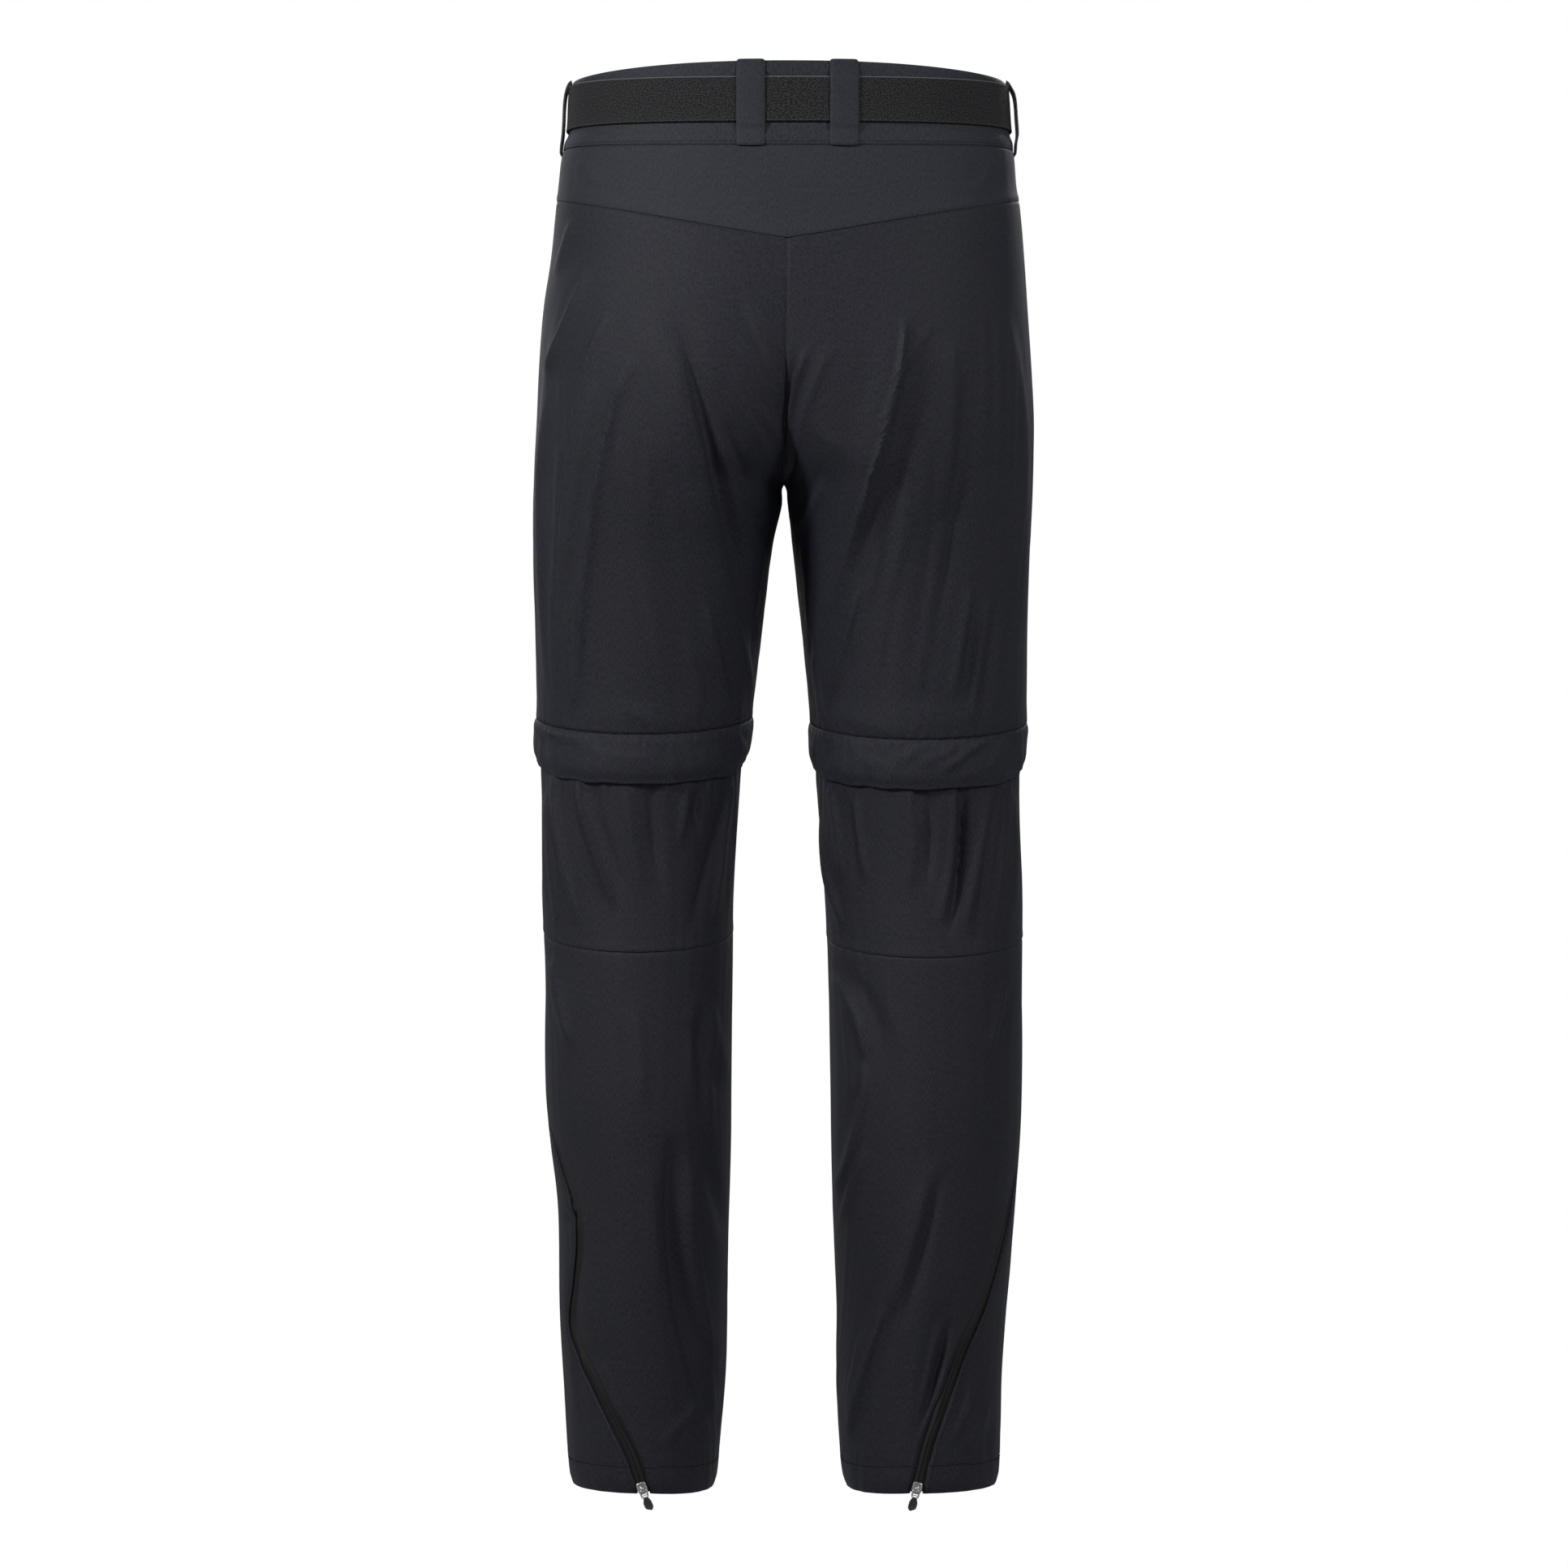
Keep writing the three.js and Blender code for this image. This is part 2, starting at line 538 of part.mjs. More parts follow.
// A strap over the belt. Its outline gives height, and how far its underside stands off the cloth.
function loopStrap(leg, angleAt, outline) {
  const columns = 4;
  const rows = outline.map(([z, standOff]) => spread(-0.5, 0.5, columns).map((across) => {
    const angle = angleAt(z, across * LOOP.width);
    return withWall(clothPlace(leg, angle, z, standOff + LOOP.thickness, false), LOOP.thickness);
  }));
  return wallGeometry(rows, false);
}

function angleAtX(leg, facing, x, z) {
  const middle = (leg.out(z) + leg.in(z)) / 2;
  const halfWidth = (leg.out(z) - leg.in(z)) / 2;
  const across = (leg.side * x - middle) / halfWidth;
  return facing * Math.acos(Math.sign(across) * Math.abs(across) ** (leg.square(z) / 2));
}

function backLoop(leg, x) {
  const overBelt = SEAM_GAP * 2 + BELT.thickness;
  const outline = [
    [LOOP.top, 0.3], [12, 0.4], [8.5, overBelt], [-10, overBelt], [-28, overBelt], [-32, 0.8], [LOOP.bottom, 0.4],
  ];
  return loopStrap(leg, (z, across) => angleAtX(leg, 1, x + across, z), outline);
}

function frontLoop(leg) {
  const overBelt = SEAM_GAP * 3 + BELT.thickness;
  const outline = [
    [9, 0.3], [6.5, overBelt], [-12, overBelt], [-33, overBelt], [-37, 0.8], [-47, 0.4],
  ];
  return loopStrap(leg, (z, across) => angleAtX(leg, -1, leg.side * 80 + across, z), outline);
}

// The side loops bow out from the belt
function sideLoop(leg) {
  const bow = leg === LEFT ? 3.9 : 5.6;
  const outline = [
    [15, 0.3], [11.5, 2.4], [4, bow], [-12, bow + 0.4], [-26, bow], [-33, 2.6], [-41, 0.4],
  ];
  return loopStrap(leg, (z, across) => across / leg.back(z), outline);
}

// The fly's facing lies over centre front, and rounds in to it at its lower end
function flyFlap() {
  const rows = spread(0, 1, 8).map((down) => {
    const z = FLY.top + (FLY.bottom - FLY.top) * down;
    const width = 4 + (FLY.width - 4) * Math.sqrt(Math.max(0, 1 - down ** 5));
    return spread(-width, 0, 4).map((across) => {
      const x = FLY.overlap + centrePlaneX(z) + across;
      const leg = x < centrePlaneX(z) ? LEFT : RIGHT;
      const spot = clothPlace(leg, angleAtX(leg, -1, x, z), z, SEAM_GAP + FLY.thickness, false);
      return withWall(spot, FLY.thickness);
    });
  });
  return wallGeometry(rows, false);
}

function roundedPlate(width, height, corner) {
  const shape = new THREE.Shape();
  const x = width / 2;
  const y = height / 2;
  shape.moveTo(-x + corner, -y);
  shape.lineTo(x - corner, -y);
  shape.absarc(x - corner, -y + corner, corner, -Math.PI / 2, 0);
  shape.lineTo(x, y - corner);
  shape.absarc(x - corner, y - corner, corner, 0, Math.PI / 2);
  shape.lineTo(-x + corner, y);
  shape.absarc(-x + corner, y - corner, corner, Math.PI / 2, Math.PI);
  shape.lineTo(-x, -y + corner);
  shape.absarc(-x + corner, -y + corner, corner, Math.PI, Math.PI * 1.5);
  return shape;
}

// The buckle's plate lies over the belt's joined ends
function buckle() {
  const plate = new THREE.ExtrudeGeometry(
    roundedPlate(BUCKLE.width - BUCKLE.rim * 2, BUCKLE.height - BUCKLE.rim * 2, BUCKLE.corner),
    {
      depth: BUCKLE.thickness - BUCKLE.rim * 2,
      bevelThickness: BUCKLE.rim,
      bevelSize: BUCKLE.rim,
      bevelSegments: 2,
      curveSegments: 4,
    },
  );
  const middleZ = BELT.top.front - BELT.width / 2;
  const lowestZ = BELT.top.front - BELT.width;
  const beltFace = RIGHT.front(lowestZ) + 2 * SEAM_GAP + BELT.thickness;
  plate.rotateX(-Math.PI / 2);
  plate.translate(0, beltFace + BUCKLE.rim, middleZ);
  return plate;
}

const wasm = await Module();
wasm.setup();

function asSolid(geometry) {
  const bare = geometry.clone();
  bare.deleteAttribute('normal');
  bare.deleteAttribute('uv');
  const merged = mergeVertices(bare, 1e-4);
  const mesh = new wasm.Mesh({
    numProp: 3,
    vertProperties: Float32Array.from(merged.attributes.position.array),
    triVerts: Uint32Array.from(merged.index.array),
  });
  return new wasm.Manifold(mesh);
}

function asGeometry(solid) {
  const mesh = solid.getMesh();
  const geometry = new THREE.BufferGeometry();
  geometry.setAttribute('position', new THREE.Float32BufferAttribute(mesh.vertProperties, 3));
  geometry.setIndex([...mesh.triVerts]);
  geometry.computeVertexNormals();
  return geometry;
}

// The slider's own frame: origin on its pull's axis, x across the zip, y up along it, z outwards
function sliderPlace(leg) {
  const z = HEM_Z + 2.8;
  const angle = leg.zipAngle(z);
  const foot = sectionPoint(leg, angle, z);
  const outwards = new THREE.Vector3(0, -1, 0);
  const uphill = sectionPoint(leg, leg.zipAngle(z + 40), z + 40).sub(foot);
  uphill.y = 0;
  uphill.normalize();
  const across = uphill.clone().cross(outwards);
  const axisHeight = SLIDER.seat + SLIDER.thickness + CROWN.clear / 2;
  const frame = new THREE.Matrix4().makeBasis(across, uphill, outwards);
  frame.setPosition(foot.addScaledVector(outwards, axisHeight));
  return { z, frame };
}

// Slider: a tapered body with a crown over it, under which the pull's bar turns
function sliderGeometry() {
  const bodyTop = -CROWN.clear / 2;
  const lowest = -2.8;
  const outline = new THREE.Shape([
    new THREE.Vector2(-SLIDER.width / 2 + SLIDER.taper, lowest),
    new THREE.Vector2(SLIDER.width / 2 - SLIDER.taper, lowest),
    new THREE.Vector2(SLIDER.width / 2, lowest + 3),
    new THREE.Vector2(SLIDER.width / 2 - 0.3, lowest + SLIDER.length - 1),
    new THREE.Vector2(SLIDER.width / 2 - 1.2, lowest + SLIDER.length),
    new THREE.Vector2(-SLIDER.width / 2 + 1.2, lowest + SLIDER.length),
    new THREE.Vector2(-SLIDER.width / 2 + 0.3, lowest + SLIDER.length - 1),
    new THREE.Vector2(-SLIDER.width / 2, lowest + 3),
  ]);
  const bevel = 0.5;
  const body = new THREE.ExtrudeGeometry(outline, {
    depth: SLIDER.thickness - bevel * 2,
    bevelThickness: bevel,
    bevelSize: bevel,
    bevelOffset: -bevel,
    bevelSegments: 2,
  });
  body.translate(0, 0, bodyTop - SLIDER.thickness + bevel);
  const legFoot = bodyTop - 0.4;
  const cavityLow = -1;
  const cavityHigh = cavityLow + CROWN.cavity;
  const underRoof = CROWN.clear / 2;
  const roof = underRoof + CROWN.roof;
  const arch = new THREE.Shape();
  arch.moveTo(cavityLow - CROWN.leg, legFoot);
  arch.lineTo(cavityLow, legFoot);
  arch.lineTo(cavityLow, underRoof);
  arch.lineTo(cavityHigh, underRoof);
  arch.lineTo(cavityHigh, legFoot);
  arch.lineTo(cavityHigh + CROWN.leg, legFoot);
  arch.quadraticCurveTo(cavityHigh + CROWN.leg, roof, cavityHigh - 0.4, roof);
  arch.lineTo(cavityLow + 0.4, roof);
  arch.quadraticCurveTo(cavityLow - CROWN.leg, roof, cavityLow - CROWN.leg, legFoot);
  const crown = new THREE.ExtrudeGeometry(arch, { depth: CROWN.width, bevelEnabled: false, curveSegments: 4 });
  crown.translate(0, 0, -CROWN.width / 2);
  const swap = new THREE.Matrix4().makeBasis(
    new THREE.Vector3(0, 1, 0),
    new THREE.Vector3(0, 0, 1),
    new THREE.Vector3(1, 0, 0),
  );
  crown.applyMatrix4(swap);
  return asGeometry(asSolid(body).add(asSolid(crown)));
}

// Link: a flat ring whose upper bar sits under the crown
function linkGeometry() {
  const half = LINK.width / 2 - LINK.bevel;
  const top = LINK.bar / 2 - LINK.bevel;
  const end = LINK.length - LINK.bevel;
  const ring = new THREE.Shape([
    new THREE.Vector2(-half + 0.9, top),
    new THREE.Vector2(-half, top - 0.9),
    new THREE.Vector2(-half + 0.4, -end),
    new THREE.Vector2(half - 0.4, -end),
    new THREE.Vector2(half, top - 0.9),
    new THREE.Vector2(half - 0.9, top),
  ]);
  const hole = LINK.holeWidth / 2 + LINK.bevel;
  ring.holes.push(new THREE.Path([
    new THREE.Vector2(-hole, -top),
    new THREE.Vector2(hole, -top),
    new THREE.Vector2(hole, -LINK.holeEnd - LINK.bevel),
    new THREE.Vector2(-hole, -LINK.holeEnd - LINK.bevel),
  ]));
  const link = new THREE.ExtrudeGeometry(ring, {
    depth: LINK.bar - LINK.bevel * 2,
    bevelThickness: LINK.bevel,
    bevelSize: LINK.bevel,
    bevelSegments: 1,
  });
  link.translate(0, 0, -LINK.bar / 2 + LINK.bevel);
  return link;
}

// Grip: a moulded tab with a slanted lower end
function gripGeometry(leg) {
  const top = -LINK.length - SEAM_GAP - GRIP.bevel;
  const end = top - GRIP.length + GRIP.bevel * 2;
  const half = GRIP.width / 2 - GRIP.bevel;
  const waist = half - 0.9;
  const points = [
    [-waist, top], [-half, top - 3], [-half + 0.3, end + GRIP.slant],
    [half - 1.8, end], [half, end + 1.6], [half, top - 3], [waist, top],
  ];
  const outline = new THREE.Shape(points.map(([x, y]) => new THREE.Vector2(x * leg.side * -1, y)));
  const grip = new THREE.ExtrudeGeometry(outline, {
    depth: GRIP.thickness - GRIP.bevel * 2,
    bevelThickness: GRIP.bevel,
    bevelSize: GRIP.bevel,
    bevelSegments: 2,
  });
  grip.translate(0, 0, -GRIP.thickness / 2 + GRIP.bevel);
  return grip;
}

// Colours and finishes
const FINISHES = {
  cloth: { color: 0x23252b, roughness: 0.75, metalness: 0 },
  yokeCloth: { color: 0x282c34, roughness: 0.75, metalness: 0 },
  webbing: { color: 0x17171a, roughness: 0.85, metalness: 0 },
  tape: { color: 0x1c1a18, roughness: 0.7, metalness: 0 },
  metal: { color: 0x9a9a98, roughness: 0.35, metalness: 1 },
  moulded: { color: 0x2b2a2c, roughness: 0.5, metalness: 0 },
};

const trousers = new THREE.Group();

function addPiece(name, geometry, finish, parent = trousers) {
  const mesh = new THREE.Mesh(geometry, new THREE.MeshStandardMaterial(FINISHES[finish]));
  mesh.name = name;
  parent.add(mesh);
}

addPiece('waistband', waistband(), 'yokeCloth');
addPiece('yoke_back', yoke(), 'yokeCloth');
addPiece('belt', belt(), 'webbing');
addPiece('belt_buckle', buckle(), 'moulded');
addPiece('fly_flap', flyFlap(), 'cloth');
addPiece('loop_back_left', backLoop(LEFT, -27), 'yokeCloth');
addPiece('loop_back_right', backLoop(RIGHT, 42), 'yokeCloth');

for (const leg of LEGS) {
  addPiece(`loop_side_${leg.name}`, sideLoop(leg), 'yokeCloth');
  addPiece(`loop_front_${leg.name}`, frontLoop(leg), 'yokeCloth');
  addPiece(`thigh_back_${leg.name}`, thighBack(leg), 'cloth');
  addPiece(`thigh_front_${leg.name}`, thighFront(leg), 'cloth');
  addPiece(`zip_flap_${leg.name}`, zipFlap(leg), 'cloth');
  addPiece(`knee_zip_${leg.name}`, kneeZip(leg), 'tape');
  addPiece(`knee_back_${leg.name}`, kneePanel(leg, 1), 'cloth');
  addPiece(`knee_front_${leg.name}`, kneePanel(leg, -1), 'cloth');
  addPiece(`calf_back_${leg.name}`, lowerPanel(leg, 1), 'cloth');
  addPiece(`shin_front_${leg.name}`, lowerPanel(leg, -1), 'cloth');
  addPiece(`leg_zip_${leg.name}`, legZip(leg), 'tape');
  const zipEnd = new THREE.Group();
  zipEnd.applyMatrix4(sliderPlace(leg).frame);
  trousers.add(zipEnd);
  addPiece(`hem_slider_${leg.name}`, sliderGeometry(), 'metal', zipEnd);
  addPiece(`pull_link_${leg.name}`, linkGeometry(), 'metal', zipEnd);
  addPiece(`pull_grip_${leg.name}`, gripGeometry(leg), 'moulded', zipEnd);
}

export default trousers;
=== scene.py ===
import math

import bmesh
import bpy
import numpy as np
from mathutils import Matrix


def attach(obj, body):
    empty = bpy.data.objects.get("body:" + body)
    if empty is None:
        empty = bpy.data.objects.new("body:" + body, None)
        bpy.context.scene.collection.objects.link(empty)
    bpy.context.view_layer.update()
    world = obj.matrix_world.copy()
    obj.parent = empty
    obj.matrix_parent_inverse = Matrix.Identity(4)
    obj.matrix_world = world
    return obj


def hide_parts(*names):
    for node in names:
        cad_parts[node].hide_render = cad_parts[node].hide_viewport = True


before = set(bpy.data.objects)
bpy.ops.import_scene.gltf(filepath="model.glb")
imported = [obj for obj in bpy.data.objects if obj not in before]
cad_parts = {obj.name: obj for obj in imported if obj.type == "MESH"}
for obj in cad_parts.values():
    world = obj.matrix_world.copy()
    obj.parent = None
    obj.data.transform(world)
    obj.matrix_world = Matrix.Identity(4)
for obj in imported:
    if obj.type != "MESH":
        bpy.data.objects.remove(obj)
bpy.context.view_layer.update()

# Convertible zip-off trousers, worn and filled out, seen from behind. Sizes in the functions are
# millimetres, and mesh_of() turns them into the frame's metres. +Z is up, the wearer's back is at
# -Y and the wearer's right leg at +X.


# Camera
# Level with the knees' upper side, straight behind the wearer and 4.5 m away, with a long lens.
camera_data = bpy.data.cameras.new("camera")
camera_data.lens = 136.3
camera_data.sensor_width = 36.0
camera_data.sensor_fit = "HORIZONTAL"
camera = bpy.data.objects.new("camera", camera_data)
camera.location = (-0.00246, -4.5, -0.517)
camera.rotation_euler = (math.radians(90), 0, 0)
bpy.context.scene.collection.objects.link(camera)
bpy.context.scene.camera = camera


# Floor and light
# A plain pale floor a hand below the hems, in a white room that sheds little light itself. A soft
# light stands high on the left behind the wearer, a weaker one on the right, and two light the front.
scene = bpy.context.scene
scene.view_settings.view_transform = "Standard"
FLOOR_Z = -1.16
FLOOR_HALF = 9.0

floor_mesh = bpy.data.meshes.new("floor")
floor_corners = [
    (-FLOOR_HALF, -FLOOR_HALF), (FLOOR_HALF, -FLOOR_HALF),
    (FLOOR_HALF, FLOOR_HALF), (-FLOOR_HALF, FLOOR_HALF),
]
floor_mesh.from_pydata([(x, y, FLOOR_Z) for x, y in floor_corners], [], [(0, 1, 2, 3)])
floor = bpy.data.objects.new("floor", floor_mesh)
scene.collection.objects.link(floor)

floor_material = bpy.data.materials.new("pale floor")
floor_material.use_nodes = True
floor_shader = floor_material.node_tree.nodes["Principled BSDF"]
floor_shader.inputs["Base Color"].default_value = (0.35, 0.35, 0.35, 1)
floor_shader.inputs["Roughness"].default_value = 0.9
floor_shader.inputs["Specular IOR Level"].default_value = 0.1
floor_nodes, floor_links = floor_material.node_tree.nodes, floor_material.node_tree.links
floor_glow = floor_nodes.new("ShaderNodeEmission")
floor_glow.inputs["Strength"].default_value = 1.0
floor_seen = floor_nodes.new("ShaderNodeLightPath")
floor_either = floor_nodes.new("ShaderNodeMixShader")
floor_links.new(floor_seen.outputs["Is Camera Ray"], floor_either.inputs["Fac"])
floor_links.new(floor_shader.outputs["BSDF"], floor_either.inputs[1])
floor_links.new(floor_glow.outputs["Emission"], floor_either.inputs[2])
floor_links.new(floor_either.outputs["Shader"], floor_nodes["Material Output"].inputs["Surface"])
floor_mesh.materials.append(floor_material)

world = bpy.data.worlds.new("white room")
scene.world = world
world.use_nodes = True
room = world.node_tree.nodes
room_light = room["Background"]
room_light.inputs["Color"].default_value = (0.95, 0.97, 1.0, 1)
room_light.inputs["Strength"].default_value = 0.16
seen_light = room.new("ShaderNodeBackground")
seen_light.inputs["Color"].default_value = (1, 1, 1, 1)
seen_light.inputs["Strength"].default_value = 1.0
ray = room.new("ShaderNodeLightPath")
either = room.new("ShaderNodeMixShader")
links = world.node_tree.links
links.new(ray.outputs["Is Camera Ray"], either.inputs["Fac"])
links.new(room_light.outputs["Background"], either.inputs[1])
links.new(seen_light.outputs["Background"], either.inputs[2])
links.new(either.outputs["Shader"], room["World Output"].inputs["Surface"])


def soft_box(name, place, size, power):
    """A square area light of that side, in metres, which faces the middle of the thighs."""
    lamp = bpy.data.lights.new(name, "AREA")
    lamp.shape = "SQUARE"
    lamp.size = size
    lamp.energy = power
    box = bpy.data.objects.new(name, lamp)
    box.location = place
    towards = np.array([0, 0, -0.35]) - np.array(place)
    level = math.hypot(towards[0], towards[1])
    box.rotation_euler = (math.atan2(level, -towards[2]), 0, math.atan2(-towards[0], towards[1]))
    scene.collection.objects.link(box)


soft_box("key light", (-2.3, -1.6, 1.2), 0.5, 80)
soft_box("fill light", (2.1, -2.1, 1.2), 1.0, 52)
soft_box("front key light", (1.0, 2.7, 1.0), 1.2, 26)
soft_box("front fill light", (-1.3, 2.6, 0.6), 1.6, 12)


# Thighs, front and back
# The shorts' four panels of thin stretch-woven cloth, cut along the side, centre and inner seams.
# They hang from the seat in long soft folds. The centre seams meet under the crotch.
MM = 0.001
CLOTH = 1.4
SEAM_GAP = 0.3
CROTCH_Z = -290.0
HEM_TURN = 21.0
HEM_THICKER = 1.2
WAIST_SEAM = {"side": -38, "back": -44, "front": -46}
YOKE_SIDE_Z = -76.0
YOKE_BACK_Z = -114.0
FLAP_SEAM_Z = -466.0
RING_DIP = 14.0

# Levels of each leg: height, reach from the centre plane to the outer and the inner side, depth to
# the back and to the front, and the squareness of the section's outer half. The inner half's own
# squareness is the same on both legs, fuller about the crotch.
INNER_SQUARENESS = [
    [21, 2.25], [-65, 2.22], [-157, 2.2], [-200, 2.2], [-240, 2.3], [-270, 2.5],
    [-290, 2.68], [-304, 2.5], [-340, 2.18], [-397, 2.1], [-1048, 2.1],
]
LEFT_LEVELS = [
    [21, 162.5, -162.5, 105, 100, 2.25],
    [0, 164, -164, 106, 101, 2.25],
    [-25, 165.5, -165.5, 107, 102, 2.25],
    [-41, 170.5, -170.5, 111, 105, 2.25],
    [-65, 173.4, -173.4, 116, 108, 2.22],
    [-83, 175.3, -172, 119, 109, 2.2],
    [-120, 179, -150, 125, 110, 2.2],
    [-157, 184.5, -116, 129, 110, 2.2],
    [-200, 187.9, -80, 131, 109, 2.15],
    [-240, 189.7, -46, 128, 107, 2.1],
    [-270, 191.3, -20, 123, 105, 2.05],
    [-290, 192, 2.5, 118, 103, 1.97],
    [-304, 192.5, 3.9, 115, 102, 2],
    [-340, 192.5, 11.6, 107, 99, 2.08],
    [-397, 191.3, 18.5, 98, 95, 2.1],
    [-452, 190, 25.2, 91, 92, 2.1],
    [-468, 189.6, 27.2, 90, 91.5, 2.1],
    [-490, 187, 33, 86, 89.5, 2.1],
    [-520, 186.3, 35.8, 84, 89, 2.1],
    [-600, 185.7, 40.6, 82, 88, 2.1],
    [-655, 183.3, 41.2, 85, 83, 2.1],
    [-747, 182, 42.4, 89, 74, 2.1],
    [-784, 179, 42.8, 88.5, 71, 2.1],
    [-840, 173.4, 44.3, 86, 69, 2.1],
    [-913, 172.2, 45.5, 80, 67, 2.1],
    [-968, 169.3, 47.4, 75, 66, 2.1],
    [-1024, 166, 51.7, 70.5, 66, 2.1],
    [-1048, 163.5, 54, 69, 66, 2.1],
]
RIGHT_LEVELS = [
    [21, 165, -165, 105, 100, 2.25],
    [0, 166.5, -166.5, 106, 101, 2.25],
    [-25, 168.3, -168.3, 107, 102, 2.25],
    [-41, 171.6, -171.6, 111, 105, 2.25],
    [-65, 173.6, -173.6, 116, 108, 2.22],
    [-83, 176.5, -173, 119, 109, 2.2],
    [-120, 179.6, -150, 125, 110, 2.2],
    [-157, 182, -117, 129, 110, 2.2],
    [-200, 184.8, -83, 131, 109, 2.15],
    [-240, 186.8, -50, 128, 107, 2.1],
    [-270, 186.6, -24, 123, 105, 2.05],
    [-290, 186.2, -2.5, 118, 103, 1.97],
    [-304, 185.7, 0.2, 115, 102, 2],
    [-340, 184, 4.2, 107, 99, 2.08],
    [-397, 182, 10.5, 98, 95, 2.1],
    [-452, 181.4, 16, 91, 92, 2.1],
    [-470, 181, 17.6, 90, 91.5, 2.1],
    [-492, 176.6, 21.2, 86, 89.5, 2.1],
    [-520, 175.8, 22.4, 84, 89, 2.1],
    [-600, 178.1, 28.3, 82, 88, 2.1],
    [-655, 177.8, 30.9, 85, 83, 2.1],
    [-747, 177, 32.8, 89, 74, 2.1],
    [-784, 175.9, 33.3, 88.5, 71, 2.1],
    [-840, 172.2, 34.4, 86, 69, 2.1],
    [-913, 166, 37.4, 80, 67, 2.1],
    [-968, 162.4, 37.5, 75, 66, 2.1],
    [-1024, 161, 40, 70.5, 66, 2.1],
    [-1048, 159.5, 43, 69, 66, 2.1],
]

# Line of each hem zip: height, and degrees round the leg from its outer side towards the back
LEFT_ZIP_LINE = [
    [-772, 0], [-790, 20], [-808, 30], [-826, 38], [-845, 42.5], [-872, 42], [-905, 36],
    [-922, 34.5], [-940, 41], [-955, 50], [-980, 63.5], [-1018, 83], [-1048, 92],
]
RIGHT_ZIP_LINE = [
    [-800, 0], [-817, 15], [-846, 25], [-864, 31], [-886, 39], [-907, 47], [-924, 55.5],
    [-941, 63], [-972, 73.5], [-1004, 84.5], [-1022, 89], [-1048, 95],
]

# The largest folds, as the solids have them: leg and face, a bent line through three places
# (x, z), half width, and height, which is below zero in a trough
LARGE_FOLDS = [
    ["left", "back", -98, -180, -76, -272, -46, -420, 14, 4],
    ["left", "back", -78, -180, -52, -275, -27, -425, 11, -4.5],
    ["left", "back", -133, -170, -160, -261, -172, -440, 11, 2.2],
    ["left", "back", -115, -200, -141, -291, -155, -447, 11, 2.2],
    ["left", "back", -47, -232, -33, -285, -14, -330, 9, -2.5],
    ["right", "back", 83, -172, 73, -261, 28, -402, 14, 4.5],
    ["right", "back", 100, -185, 92, -275, 52, -420, 11, -2.5],
    ["right", "back", 133, -220, 119, -342, 97, -450, 13, -3.5],
    ["right", "back", 163, -340, 160, -400, 155, -458, 9, -1.6],
    ["left", "back", -174, -510, -165, -570, -153, -622, 9, 2],
    ["left", "back", -103, -512, -102, -545, -97, -590, 8, -2.5],
    ["left", "back", -45, -530, -56, -580, -71, -624, 9, -2.5],
    ["right", "back", 25, -530, 31, -575, 40, -620, 9, 2],
    ["right", "back", 105, -516, 103, -550, 105, -592, 8, -2.2],
    ["right", "back", 131, -514, 130, -560, 124, -622, 10, -3.5],
    ["right", "back", 165, -514, 158, -570, 146, -628, 9, -2.5],
    ["left", "back", -178, -645, -170, -680, -163, -712, 10, 1.8],
    ["left", "back", -91, -790, -84, -890, -73, -1000, 11, -2.6],
    ["right", "back", 35, -640, 60, -706, 37, -827, 12, 2.4],
    ["right", "back", 121, -900, 112, -950, 102, -998, 9, -2.2],
    ["left", "front", -122, -160, -104, -240, -70, -300, 12, -3],
    ["left", "front", -66, -235, -46, -290, -40, -400, 11, -3.5],
    ["left", "front", -150, -260, -158, -350, -150, -440, 12, 2.5],
    ["right", "front", 118, -150, 98, -230, 62, -305, 12, -3],
    ["right", "front", 62, -245, 40, -300, 32, -410, 11, -3.5],
    ["right", "front", 140, -250, 150, -340, 140, -445, 12, 2.5],
    ["left", "front", -88, -520, -94, -560, -90, -612, 10, -2.5],
    ["right", "front", 86, -520, 78, -565, 82, -612, 10, -2.5],
    ["left", "front", -92, -700, -84, -820, -90, -960, 12, -2.4],
    ["right", "front", 84, -690, 78, -810, 84, -950, 12, -2.4],
]

